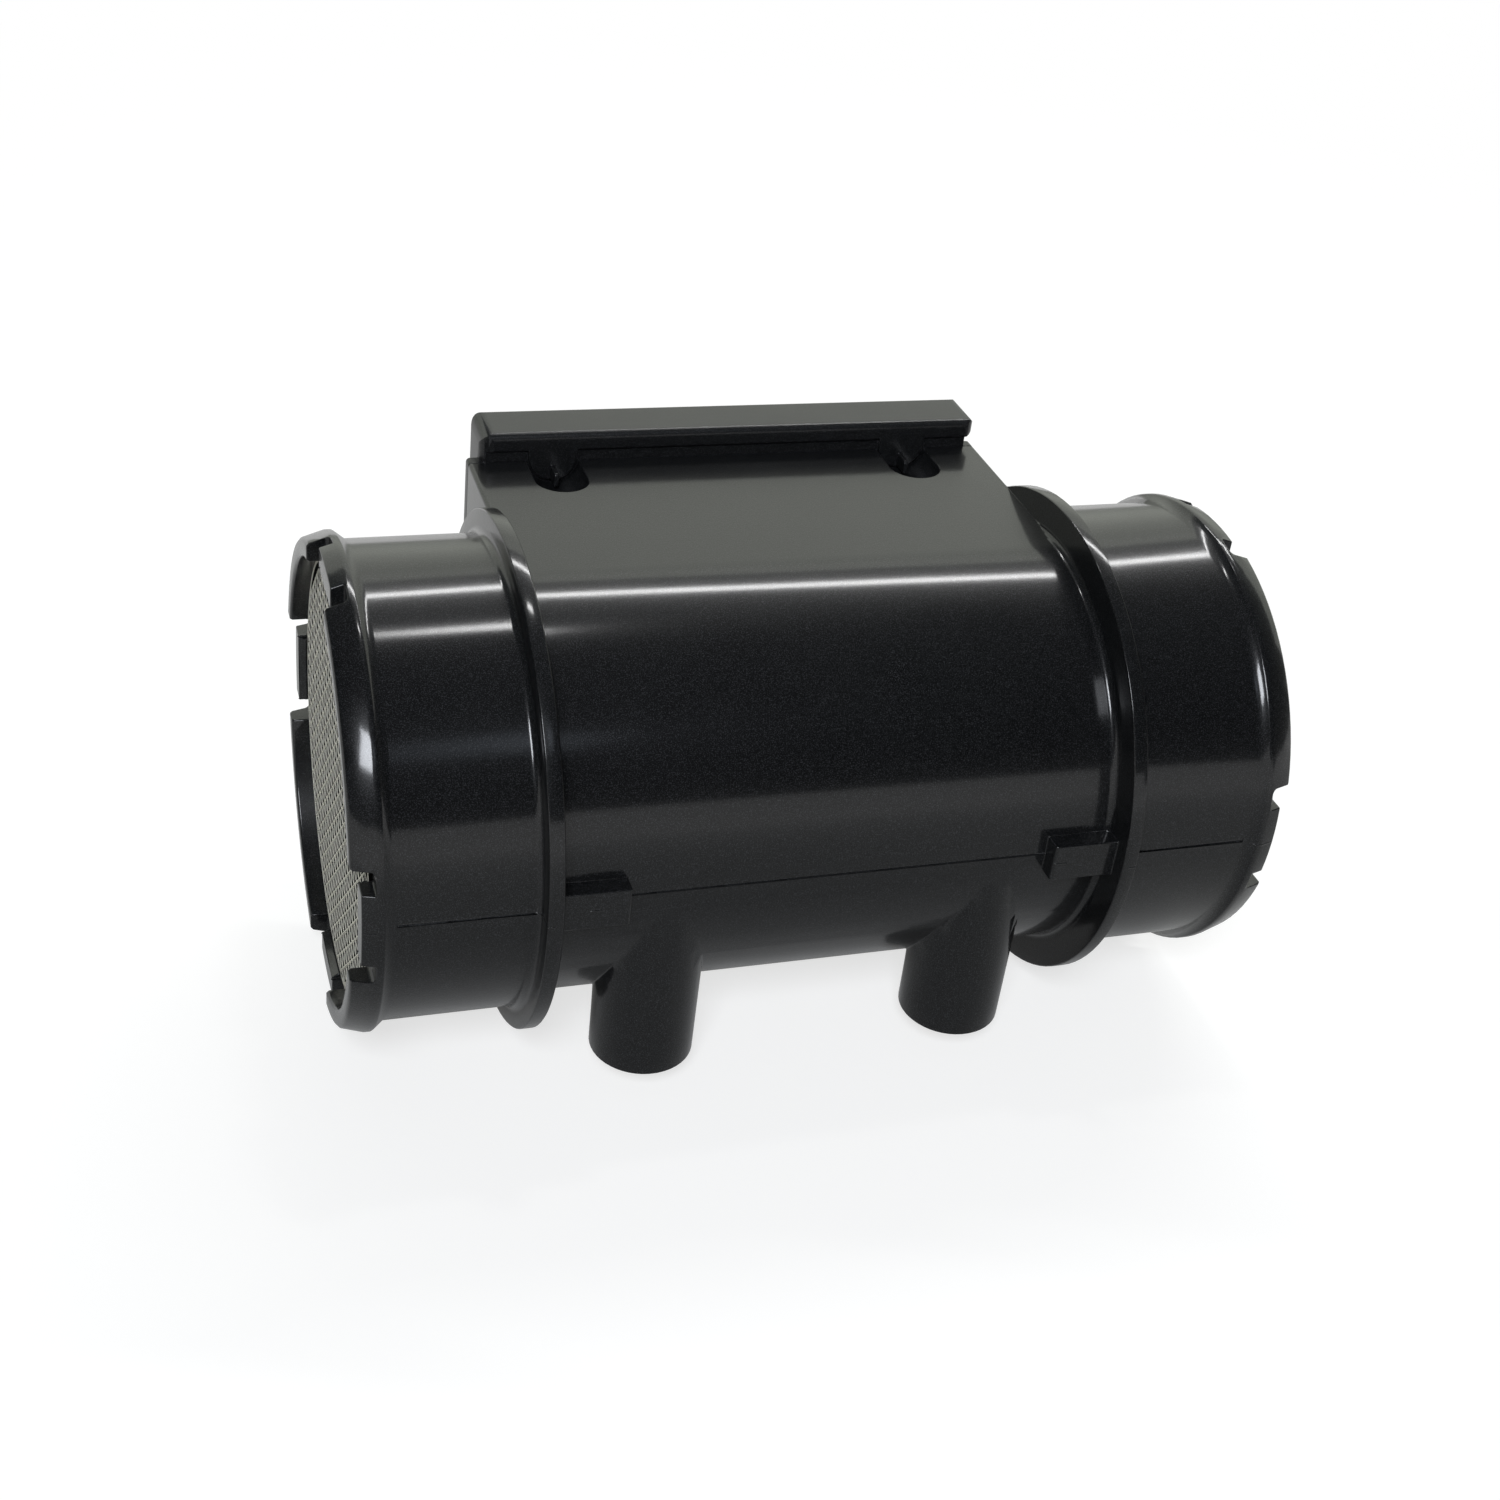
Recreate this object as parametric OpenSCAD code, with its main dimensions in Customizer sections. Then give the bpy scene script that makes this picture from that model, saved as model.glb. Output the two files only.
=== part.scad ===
// Mass air flow sensor: a black moulded air tube with an electronics module on its back.
// X is the tube's axis with the air coming in at -X, -Y is the front and +Z is up.
// The origin is midway between the two threaded inserts, on the end faces of the legs.

/* [Air tube] */
// Bore of the tube
tube_bore = 80; // [60:0.5:100]
// Wall of the tube
tube_wall = 3; // [2.6:0.1:4]
// Overall length from lip to lip
body_len = 180.8; // [176:0.2:200]
// Height of the fine ridge that the mould's parting plane leaves
parting_h = 0.12; // [0.05:0.01:0.2]

/* [Hose collars] */
// Wall of the collars around the seat inside their lip
collar_wall = 3.1; // [2.6:0.1:4]
// Height of the hose bead above the collar
bead_rise = 1.8; // [1:0.1:2.6]
// Distance from the lip's tip to the middle of the crest
bead_set = 5; // [4.6:0.1:5.6]
// Flat width of the crest
bead_flat = 1.6; // [0.8:0.1:2]
// Length of the slope behind the crest
bead_back = 2; // [1.2:0.1:3]

/* [Snap lip] */
// Height of the lip's tip above the collar
tip_rise = 0.5; // [0.2:0.1:1]
// How far the seat inside the lip steps out from the bore
seat_step = 2.3; // [1.6:0.1:3]
// Half of the angle that a snap finger covers
finger_half = 10.4; // [8:0.2:13]
// Angle of the slot on each side of a finger
slot_angle = 5.8; // [4:0.2:8]
// Depth of the slots from the tip
slot_depth = 4.2; // [3.8:0.1:6]
// How far the fingers end behind the tip
finger_short = 1.7; // [1:0.1:2.4]
// How far the finger hooks reach inwards from the seat
hook_reach = 1; // [0.6:0.1:1.4]

/* [Flanges] */
// Height of the flanges above the collars
flange_rise = 4.6; // [3.6:0.2:8]
// Thickness of the flanges
flange_t = 3; // [2.4:0.1:4]
// Distance between the outer faces of the flanges
flange_span = 114.3; // [112:0.1:124]
// Fillet at the root of the flanges
flange_fillet = 1.5; // [0.8:0.1:2]

/* [Lugs] */
// Length of the lugs from their flange
lug_len = 13; // [8:0.5:18]
// Height of the lugs
lug_h = 7.7; // [5:0.1:10]
// How far the lugs' front face stands out from the tube
lug_rise = 3.6; // [2:0.1:5]

/* [Legs] */
// Distance between the two legs
leg_spacing = 65; // [50:1:80]
// Diameter of the legs at their end
leg_d = 20.2; // [16:0.2:22]
// How much wider the legs are at the height of the tube's axis
leg_draft = 0.6; // [0.4:0.1:1]
// How far the legs stay behind the front of the tube
leg_inset = 0.1; // [0.1:0.1:4]
// How far the legs end below the bottom of the tube
leg_rise = 1.5; // [1:0.5:16]

/* [Leg inserts] */
// Outer diameter of the brass inserts
insert_od = 9; // [8:0.1:11]
// Inner diameter of the inserts, the minor diameter of the thread
insert_bore = 5; // [4.2:0.1:6]
// Length of the inserts
insert_len = 9; // [6:0.5:10]

/* [Module box] */
// How far the box's ends lie inside the outer faces of the flanges
box_inset = 2.5; // [1.5:0.1:2.7]
// How far the open rim of the box lies behind the tube
box_depth = 2; // [1.8:0.1:4]
// Distance from the tube's axis down to the bottom of the box
box_low = 17; // [16:0.5:20]
// Wall of the box
box_wall = 2.5; // [2.4:0.1:3]
// Edge rounding of the box
box_round = 0.8; // [0.4:0.1:1.2]
// Distance between the two half-round pockets
pocket_spacing = 75.2; // [60:0.1:80]
// Width of the pockets
pocket_w = 10.9; // [10:0.1:12]
// Length of the pockets from the rim
pocket_len = 14.2; // [13:0.1:16]
// Depth of the pockets
pocket_depth = 4.5; // [4.4:0.1:4.8]

/* [Module cover] */
// Thickness of the cover's border
border_t = 2.6; // [2:0.1:3.2]
// Thickness of the cover's raised slab
slab_t = 11.6; // [10:0.1:13]
// How far the slab stands above the box
slab_rise = 6.1; // [5.6:0.1:7]
// How far the slab's ends lie inside the box's ends
slab_inset = 2.35; // [2:0.05:3]
// Rounding of the slab's end at the air inlet and of its upright corners
slab_round = 3; // [2:0.1:3.4]
// Height of the neck under the slab's thick top edge
neck_h = 2.2; // [1.8:0.1:2.6]
// How far the thick edge stands out to the front
edge_front = 0.6; // [0.4:0.1:0.9]
// How far the thick edge stands out over the neck at the air outlet
edge_out = 1.9; // [1.4:0.1:2.2]
// Rounding along the thick edge
edge_round = 1.5; // [1:0.1:1.8]
// Wall of the cover
cover_wall = 2; // [1.6:0.1:2.4]
// Clearance around the tabs that reach into the pockets
tab_gap = 0.45; // [0.3:0.05:0.7]
// Thickness of the ribs on the tabs
rib_t = 0.9; // [0.8:0.1:1.4]
// How far the ribs reach out from the tabs
rib_len = 4.1; // [3:0.1:6]
// How far the ribs stay below the top of the box
rib_low = 0.85; // [0.6:0.05:1.2]

/* [Connector] */
// Place of the connector along the tube
socket_x = -26; // [-30:1:-18]
// Height of the connector above the tube's axis
socket_z = 12; // [10:0.5:14]
// Outer width of the connector shroud
socket_w = 26; // [24:0.5:30]
// Outer height of the connector shroud
socket_h = 14; // [13.5:0.1:16]
// Length of the connector shroud
socket_len = 20; // [16:0.5:24]
// Wall of the connector shroud
socket_wall = 1.8; // [1.4:0.1:2]
// Distance between the terminals
terminal_pitch = 5; // [4:0.1:5.4]
// Width of the terminals
terminal_w = 2; // [1.5:0.1:2.8]
// Thickness of the terminals
terminal_t = 0.8; // [0.6:0.1:1]
// How far the terminals stay behind the mouth of the shroud
terminal_short = 7; // [5:0.5:9]

/* [Inlet straightener] */
// Length of the straightener along the air flow
straight_len = 10; // [8:0.5:14]
// How far the straightener's face lies behind the lip's tip
straight_recess = 3.5; // [3.2:0.1:3.8]
// Clearance of the straightener and the screen in their seats
seat_gap = 0.2; // [0.1:0.05:0.3]
// Wall of the straightener's band
band_t = 0.6; // [0.4:0.1:1]
// Thickness of the foil
foil_t = 0.16; // [0.1:0.01:0.25]
// Distance between two flat strips
strip_pitch = 3.05; // [2.6:0.05:4]
// Length of one wave of the corrugated strips
wave_len = 4.05; // [3:0.05:5]
// Angle of the strips to the horizontal
strip_angle = -44; // [-60:1:60]

/* [Outlet screen] */
// Wall of the screen's ring
ring_t = 1; // [0.8:0.1:1.4]
// Diameter of the screen wires
wire_d = 0.5; // [0.3:0.05:0.6]
// Distance between the screen wires
wire_pitch = 3; // [2:0.1:4]

/* [Sensing bridge] */
// Width of the bridge along the tube
arm_w = 12; // [10:0.5:16]
// Thickness of the bridge
arm_t = 6; // [6:0.5:7]
// How far the bridge reaches past the tube's axis
arm_past = 7; // [6:0.5:12]
// Length of the opening that holds the hot film
film_len = 12; // [10:0.5:14]
// Width of the hot film plate
film_w = 4; // [3:0.5:5]
// Thickness of the hot film plate
film_t = 0.4; // [0.3:0.1:0.6]
// Thickness of the bridge's mounting foot
foot_t = 1.3; // [1:0.1:1.5]
// How far the foot stands out above and below the bridge
foot_edge = 4; // [3:0.5:5]
// Thickness of the gasket under the foot
gasket_t = 0.5; // [0.4:0.1:0.7]

/* [Electronics] */
// Thickness of the metal base plate
plate_t = 1.5; // [1.2:0.1:1.6]
// Room between the base plate and the walls of the box
plate_room = 2.6; // [1:0.1:4]
// Thickness of the circuit board
board_t = 1; // [0.6:0.1:1.2]
// Distance from the ends of the base plate to the circuit board
board_inset = 10.5; // [7:0.5:20]
// Distance from the base plate's long edges to the circuit board
board_edge = 2.5; // [2:0.5:4]
// Width of the control chip
control_w = 14; // [10:0.5:18]
// Width of the driver chip
driver_w = 9; // [6:0.5:12]
// Length of the capacitors
capacitor_len = 3.2; // [2:0.1:4]
// Length of the resistors
resistor_len = 2.4; // [1.6:0.1:3]
// Diameter of the screw heads
screw_head_d = 5; // [4.4:0.1:5.4]
// Height of the screw heads
screw_head_h = 1.5; // [1.2:0.1:2]
// Diameter of the screw shanks
screw_d = 2.4; // [2:0.1:3]
// Length of the screw shanks in the plastic
screw_grip = 3; // [2.4:0.1:3.2]

/* [Hidden] */

plastic = "#1b1d1f";
foil = "#b5b0a0";
steel = "#9aa0a3";
brass = "#b8954a";
board_green = "#2f5a3a";
chip_black = "#222426";
ceramic = "#e4e0d4";
rubber = "#2a2a2a";

round_fn = 128;
small_fn = 48;
over = 1;
touch = 0.01;

bore_r = tube_bore / 2;
tube_r = bore_r + tube_wall;
seat_r = bore_r + seat_step;
collar_r = seat_r + collar_wall;
bead_r = collar_r + bead_rise;
tip_r = collar_r + tip_rise;
flange_r = collar_r + flange_rise;
lug_front = tube_r + lug_rise;
leg_root_d = leg_d + leg_draft;
leg_set = tube_r - leg_root_d / 2 - leg_inset;
leg_drop = tube_r + leg_rise;
box_back = tube_r + box_depth;
tip_x = body_len / 2;
crest_x = tip_x - bead_set;
face_x = tip_x - straight_recess;
seat_x = face_x - straight_len;
flange_out = flange_span / 2;
box_len = flange_span - 2 * box_inset;
flange_in = flange_out - flange_t;
edge_break = 0.3;
tip_break = 0.5;

rim_groove_w = 1;
rim_groove_d = 0.8;
pocket_floor = tube_r - pocket_depth;
groove_top = pocket_floor - 1.2;
chamber_top = groove_top - 2.1;
chamber_low = -box_low + box_wall;
chamber_half = box_len / 2 - box_wall;
groove_half = box_len / 2 - box_wall / 2 + rim_groove_w / 2;
groove_low = -box_low + box_wall / 2 - rim_groove_w / 2;

plate_back = box_back - 0.1;
plate_front = plate_back - plate_t;
plate_mid_z = (chamber_low + chamber_top) / 2;
plate_len = 2 * (chamber_half - plate_room);
plate_h = chamber_top - chamber_low - 2 * plate_room;
board_len = plate_len - 2 * board_inset;
board_h = plate_h - 2 * board_edge;
board_back = plate_back + board_t;
screw_x = plate_len / 2 - screw_head_d / 2 - 1.2;
screw_z = plate_h / 2 - screw_head_d / 2 - 2;
boss_d = screw_head_d + 1;

foot_back = plate_front;
foot_front = foot_back - foot_t;
pad_y = foot_front - gasket_t;
foot_w = 2 * arm_w;
foot_h = arm_t + 2 * foot_edge;
fit = 0.3;
lead_count = 4;
lead_w = 0.7;
lead_t = 0.5;
lead_pitch = 1.4;
channel_w = lead_pitch * (lead_count - 1) + 2 * lead_w;
channel_floor = arm_t / 2 - lead_t - 0.2;
duct_h = arm_t - 2.4;
film_front = -film_len / 4;
window_w = channel_w + 2;
window_h = arm_t + 0.8;

band_r = seat_r - seat_gap;
core_r = band_r - band_t;
screen_r = band_r - ring_t;

slab_front = box_back - edge_front;
slab_back = box_back + slab_t;
slab_top = tube_r + slab_rise;
slab_low = -box_low + 2;
slab_half = box_len / 2 - slab_inset;
edge_x = slab_half + edge_out;
edge_low = tube_r + neck_h;
edge_nose = (slab_top - edge_low) / 2;
pocket_r = pocket_w / 2;
pocket_axis = pocket_floor + pocket_r;
cavity_back = slab_back - cover_wall;
cavity_half = chamber_half - cover_wall;
terminal_count = 4;
socket_mouth = slab_back + socket_len;
socket_round = 3;

function arc(c, r, a0, a1, n = 6) =
    r > 0 ? [for (i = [0:n]) let (a = a0 + (a1 - a0) * i / n) c + r * [cos(a), sin(a)]] : [c];

function mirrored(points) = [for (i = [len(points) - 1:-1:0]) [-points[i][0], points[i][1]]];

// A rectangle from low to high with its own rounding on each corner:
// low-low, high-low, high-high, low-high. Zero leaves a corner sharp.
function rounded_rect(low, high, r) = concat(
    arc([low[0] + r[0], low[1] + r[0]], r[0], 180, 270),
    arc([high[0] - r[1], low[1] + r[1]], r[1], 270, 360),
    arc([high[0] - r[2], high[1] - r[2]], r[2], 0, 90),
    arc([low[0] + r[3], high[1] - r[3]], r[3], 90, 180)
);

// Moves a piece from the tube's axis to the frame of the legs' end faces
module placed() {
    translate([0, leg_set, leg_drop]) children();
}

// A ring about the tube's axis
module ring(x0, x1, r_out, r_in) {
    translate([x0, 0, 0])
        rotate([0, 90, 0])
            difference() {
                cylinder(r = r_out, h = x1 - x0, $fn = round_fn);
                translate([0, 0, -over]) cylinder(r = r_in, h = x1 - x0 + 2 * over, $fn = round_fn);
            }
}

// An outline in X and Z, carried from y0 to y1
module along_y(points, y0, y1) {
    translate([0, y1, 0])
        rotate([90, 0, 0])
            linear_extrude(height = y1 - y0) polygon(points);
}

// An outline in Y and Z, carried from x0 to x1
module along_x(points, x0, x1) {
    translate([x0, 0, 0])
        rotate([90, 0, 90])
            linear_extrude(height = x1 - x0) polygon(points);
}

// Outer half outline of the tube from its middle to the lip's tip, in X and radius
half_outside = concat(
    [[0, tube_r]],
    arc([flange_in - flange_fillet, tube_r + flange_fillet], flange_fillet, 270, 360),
    [
        [flange_in, flange_r - edge_break],
        [flange_in + edge_break, flange_r],
        [flange_out - edge_break, flange_r],
        [flange_out, flange_r - edge_break]
    ],
    arc([flange_out + flange_fillet, collar_r + flange_fillet], flange_fillet, 180, 270),
    [
        [crest_x - bead_flat / 2 - bead_back, collar_r],
        [crest_x - bead_flat / 2, bead_r - 0.2],
        [crest_x - bead_flat / 2 + 0.3, bead_r],
        [crest_x + bead_flat / 2 - 0.3, bead_r],
        [tip_x - tip_break, tip_r + 0.1],
        [tip_x, tip_r - tip_break]
    ]
);

half_inside = [
    [tip_x, seat_r + tip_break],
    [tip_x - tip_break, seat_r],
    [seat_x, seat_r],
    [seat_x, bore_r],
    [0, bore_r]
];

module tube_shell() {
    outline = concat(
        mirrored(half_outside), half_outside,
        half_inside, mirrored(half_inside)
    );
    rotate([0, 90, 0])
        rotate_extrude($fn = round_fn)
            polygon([for (p = outline) [p[1], p[0]]]);
}

// The slot beside a finger: its outer corner is round where it meets the long segment
module lip_slot(side) {
    width = seat_r * sin(slot_angle);
    start = seat_r * sin(finger_half);
    floor_x = tip_x - slot_depth;
    mirror([0, side < 0 ? 1 : 0, 0])
        translate([0, 0, bore_r])
            linear_extrude(height = flange_r - bore_r)
                polygon(rounded_rect([floor_x, start], [tip_x + over, start + width], [0, 0, 0, 1]));
}

// The four snap fingers: shortened tips between their slots
module lip_cuts() {
    for (a = [0:90:270])
        rotate([a, 0, 0]) {
            lip_slot(1);
            lip_slot(-1);
            rotate([-finger_half - 1, 0, 0])
                rotate([0, 90, 0])
                    rotate([0, 0, 180])
                        rotate_extrude(angle = 2 * finger_half + 2, $fn = round_fn)
                            translate([bore_r, tip_x - finger_short])
                                square([flange_r - bore_r, finger_short + over]);
        }
}

// Ramped hooks under the finger tips that hold the straightener or the screen
module lip_hooks() {
    hook_x0 = face_x + 0.05;
    hook_x1 = tip_x - finger_short;
    for (a = [0:90:270])
        rotate([a - finger_half + 0.4, 0, 0])
            rotate([0, 90, 0])
                rotate([0, 0, 180])
                    rotate_extrude(angle = 2 * finger_half - 0.8, $fn = round_fn)
                        polygon([
                            [seat_r + 0.5, hook_x0],
                            [seat_r - hook_reach, hook_x0],
                            [seat_r - hook_reach, hook_x0 + 0.5],
                            [seat_r - 0.2, hook_x1],
                            [seat_r + 0.5, hook_x1]
                        ]);
}

module lugs() {
    for (side = [-1, 1])
        mirror([side < 0 ? 1 : 0, 0, 0])
            translate([0, 0, -lug_h / 2])
                linear_extrude(height = lug_h)
                    polygon(rounded_rect([flange_in - lug_len, -lug_front],
                                         [flange_in + flange_t / 2, -bore_r], [0.6, 0, 0, 0]));
}

module legs() {
    for (side = [-1, 1])
        translate([side * leg_spacing / 2, -leg_set, -leg_drop]) {
            cylinder(d1 = leg_d - 2 * edge_break, d2 = leg_d, h = edge_break, $fn = round_fn);
            translate([0, 0, edge_break])
                cylinder(d1 = leg_d, d2 = leg_root_d, h = leg_drop - edge_break, $fn = round_fn);
        }
}

// The mould's parting plane leaves a fine ridge along the front and the back
module parting_ridge() {
    for (side = [-1, 1])
        mirror([side < 0 ? 1 : 0, 0, 0]) {
            translate([0, -tube_r - parting_h, -0.1]) cube([flange_in, over, 0.2]);
            translate([flange_out - over, -collar_r - parting_h, -0.1])
                cube([crest_x - bead_back - flange_out, over, 0.2]);
        }
}

module module_box() {
    half = box_len / 2;
    along_y(rounded_rect([-half, -box_low], [half, tube_r],
                         [box_round, box_round, box_round, box_round]), 0, box_back);
}

// The room for the electronics, with the tube's own wall left standing in it
module module_chamber() {
    difference() {
        translate([-chamber_half, 0, chamber_low])
            cube([2 * chamber_half, box_back + over, chamber_top - chamber_low]);
        translate([-chamber_half - over, 0, 0])
            rotate([0, 90, 0])
                cylinder(r = tube_r, h = 2 * (chamber_half + over), $fn = round_fn);
        plate_bosses();
    }
}

module plate_bosses() {
    for (x = [-screw_x, screw_x], z = [-screw_z, screw_z])
        translate([x, 0, plate_mid_z + z])
            rotate([-90, 0, 0])
                cylinder(d = boss_d, h = plate_front, $fn = small_fn);
}

module screw_holes() {
    for (x = [-screw_x, screw_x], z = [-screw_z, screw_z])
        translate([x, plate_front - screw_grip - 0.1, plate_mid_z + z])
            rotate([-90, 0, 0])
                cylinder(d = screw_d + 2 * touch, h = screw_grip + 0.1 + over, $fn = small_fn);
}

// The flanges are cut back where the cover's border lies against them
module cover_rebate() {
    half = box_len / 2 + fit;
    translate([-half, box_back, -flange_r]) cube([2 * half, flange_r, 2 * flange_r]);
}

// The half-round pockets in the top of the box, with a ball-shaped end, that take the cover's tabs
module tab_pockets() {
    profile = concat(
        arc([0, 0], pocket_r, -90, 0, 8),
        [[pocket_r, pocket_len], [0, pocket_len]]
    );
    for (side = [-1, 1])
        translate([side * pocket_spacing / 2, box_back - pocket_len + pocket_r, pocket_axis])
            rotate([-90, 0, 0])
                rotate_extrude($fn = small_fn) polygon(profile);
}

// The seal's path around the rim: the same band for the groove and for the seal in it
module rim_groove(depth) {
    outer_low = [-groove_half, groove_low];
    outer_high = [groove_half, groove_top];
    w = rim_groove_w;
    difference() {
        along_y(rounded_rect(outer_low, outer_high, [1.5, 1.5, 1.5, 1.5]), box_back - depth, box_back);
        along_y(rounded_rect(outer_low + [w, w], outer_high - [w, w], [0.5, 0.5, 0.5, 0.5]),
                box_back - depth - over, box_back + over);
    }
}

// A flat pad and a slot in the tube's back wall for the sensing bridge
module bridge_seat() {
    translate([-foot_w / 2 - fit, pad_y, -foot_h / 2 - fit])
        cube([foot_w + 2 * fit, box_back, foot_h + 2 * fit]);
    translate([-arm_w / 2 - fit, 0, -arm_t / 2 - fit])
        cube([arm_w + 2 * fit, box_back, arm_t + 2 * fit]);
}

module tube_body() {
    color(plastic)
        placed()
            difference() {
                union() {
                    difference() {
                        union() {
                            tube_shell();
                            module_box();
                            legs();
                            lugs();
                            parting_ridge();
                        }
                        module_chamber();
                        tab_pockets();
                        cover_rebate();
                        rim_groove(rim_groove_d);
                        rotate([0, 90, 0])
                            cylinder(r = bore_r, h = 2 * seat_x, center = true, $fn = round_fn);
                        for (side = [-1, 1])
                            mirror([side < 0 ? 1 : 0, 0, 0]) lip_cuts();
                    }
                    for (side = [-1, 1])
                        mirror([side < 0 ? 1 : 0, 0, 0]) lip_hooks();
                }
                bridge_seat();
                screw_holes();
                for (side = [-1, 1])
                    translate([side * leg_spacing / 2, -leg_set, -leg_drop - over])
                        cylinder(d = insert_od, h = insert_len + 1 + over, $fn = small_fn);
            }
}

module leg_inserts() {
    color(brass)
        placed()
            for (side = [-1, 1])
                translate([side * leg_spacing / 2, -leg_set, -leg_drop])
                    difference() {
                        cylinder(d = insert_od, h = insert_len, $fn = small_fn);
                        translate([0, 0, -over])
                            cylinder(d = insert_bore, h = insert_len + 2 * over, $fn = small_fn);
                    }
}

module inlet_straightener_band() {
    color(foil)
        placed() ring(-face_x, -seat_x, band_r, core_r);
}

// Half of the chord of a circle at a distance from its centre
function half_chord(r, d) = sqrt(max(0, r * r - d * d));

strip_rows = floor((core_r - 1) / strip_pitch);

module inlet_flat_strips() {
    color(foil)
        placed()
            rotate([strip_angle, 0, 0])
                for (k = [-strip_rows:strip_rows]) {
                    d = k * strip_pitch;
                    half = half_chord(core_r, abs(d) + foil_t / 2) - touch;
                    translate([-face_x, -half, d - foil_t / 2])
                        cube([straight_len, 2 * half, foil_t]);
                }
}

// Height of the wave's middle line at a distance along the strip
function wave_at(u, rise) = rise * (2 * abs(u / wave_len - floor(u / wave_len + 0.5)) - 0.5);

// Where the wave turns, between the ends of the strip
function wave_stops(half) = concat(
    [-half],
    [for (k = [ceil(-2 * half / wave_len + 0.05):floor(2 * half / wave_len - 0.05)]) k * wave_len / 2],
    [half]
);

module corrugated_strip(half, height) {
    rise_guess = height - foil_t;
    lean = atan(2 * rise_guess / wave_len);
    thick = foil_t / cos(lean);
    rise = height - thick - 2 * touch;
    stops = wave_stops(half);
    upper = [for (u = stops) [u, wave_at(u, rise) + thick / 2]];
    lower = [for (i = [len(stops) - 1:-1:0]) [stops[i], wave_at(stops[i], rise) - thick / 2]];
    along_x(concat(lower, upper), -face_x, -face_x + straight_len);
}

module inlet_corrugated_strips() {
    color(foil)
        placed()
            rotate([strip_angle, 0, 0])
                for (k = [-strip_rows:strip_rows - 1]) {
                    mid = (k + 0.5) * strip_pitch;
                    half = half_chord(core_r, abs(mid) + strip_pitch / 2) - 0.1;
                    translate([0, 0, mid]) corrugated_strip(half, strip_pitch - foil_t);
                }
}

module outlet_screen_ring() {
    color(steel)
        placed() ring(seat_x, face_x, band_r, screen_r);
}

wire_rows = floor((screen_r - 1.5) / wire_pitch);

// One layer of parallel wires across the screen's ring
module wire_layer(x) {
    for (k = [-wire_rows:wire_rows]) {
        half = half_chord(screen_r, abs(k * wire_pitch) + wire_d / 2) - touch;
        translate([x, 0, k * wire_pitch])
            rotate([90, 0, 0])
                cylinder(d = wire_d, h = 2 * half, center = true, $fn = 16);
    }
}

module outlet_screen_level_wires() {
    color(steel)
        placed() wire_layer(face_x - wire_d / 2 - 0.3);
}

module outlet_screen_upright_wires() {
    color(steel)
        placed() rotate([90, 0, 0]) wire_layer(face_x - wire_d * 3 / 2 - 0.3 - touch);
}

// The slab with its thick top edge: its outlines seen from the end, from the front and from above
module cover_slab() {
    side_outline = concat(
        [[box_back, slab_low]],
        arc([box_back, edge_low + edge_front], edge_front, 270, 180, 4),
        arc([slab_front + edge_round, slab_top - edge_round], edge_round, 180, 90),
        arc([slab_back - edge_round, slab_top - edge_round], edge_round, 90, 0),
        arc([slab_back - slab_round, slab_low + slab_round], slab_round, 0, -90)
    );
    front_outline = concat(
        arc([-slab_half + slab_round, slab_low + slab_round], slab_round, 270, 180),
        arc([-slab_half + slab_round, slab_top - slab_round], slab_round, 180, 90, 8),
        arc([edge_x - edge_nose, slab_top - edge_nose], edge_nose, 90, -75, 12),
        [[slab_half, edge_low - 0.2]],
        arc([slab_half - slab_round, slab_low + slab_round], slab_round, 0, -90)
    );
    plan_outline = rounded_rect([-slab_half, slab_front], [edge_x, slab_back],
                                slab_round * [1, 1, 0.6, 0.6]);
    intersection() {
        along_x(side_outline, -slab_half - over, edge_x + over);
        along_y(front_outline, slab_front - over, slab_back + over);
        translate([0, 0, slab_low - over])
            linear_extrude(height = slab_top - slab_low + 2 * over) polygon(plan_outline);
    }
}

// The tabs that hang from the thick edge into the pockets, each with a rib that stands on it
module cover_tabs() {
    tab_r = pocket_r - tab_gap;
    tab_top = edge_low + edge_front - pocket_axis;
    rib_top = tube_r - rib_low - pocket_axis;
    rib_foot = tab_gap + 0.4 - pocket_r;
    rib_tip = slab_front - rib_len;
    for (side = [-1, 1])
        translate([side * pocket_spacing / 2, 0, pocket_axis]) {
            along_y(concat(
                arc([0, 0], tab_r, 180, 360, 20),
                [[tab_r, tab_top], [-tab_r, tab_top]]
            ), slab_front, box_back + over);
            along_x(concat(
                [[slab_front + touch, rib_foot], [slab_front + touch, rib_top]],
                arc([rib_tip + 0.8, rib_top - 0.8], 0.8, 90, 180, 4),
                [[rib_tip, rib_foot]]
            ), -rib_t / 2, rib_t / 2);
        }
}

// The shroud of the connector, standing on the back of the slab
module connector_shroud() {
    outer = [socket_w / 2, socket_h / 2];
    wall = [socket_wall, socket_wall];
    r_in = socket_round - socket_wall;
    at = [socket_x, socket_z];
    difference() {
        along_y(rounded_rect(at - outer, at + outer, socket_round * [1, 1, 1, 1]),
                slab_back - 0.5, socket_mouth);
        along_y(rounded_rect(at - outer + wall, at + outer - wall, r_in * [1, 1, 1, 1]),
                slab_back, socket_mouth + over);
    }
    // The ramp that the plug's latch snaps over
    along_x([
        [socket_mouth - 8, socket_z + outer[1] - 0.5],
        [socket_mouth - 8, socket_z + outer[1] + 1.6],
        [socket_mouth - 7, socket_z + outer[1] + 1.6],
        [socket_mouth - 2, socket_z + outer[1]],
        [socket_mouth - 2, socket_z + outer[1] - 0.5]
    ], socket_x - 3, socket_x + 3);
    // The key ribs that guide the plug
    for (side = [-1, 1])
        translate([socket_x + side * socket_w / 4 - 0.6, slab_back - 0.5, socket_z - outer[1] - 1])
            cube([1.2, socket_len, 1.5]);
}

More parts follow.
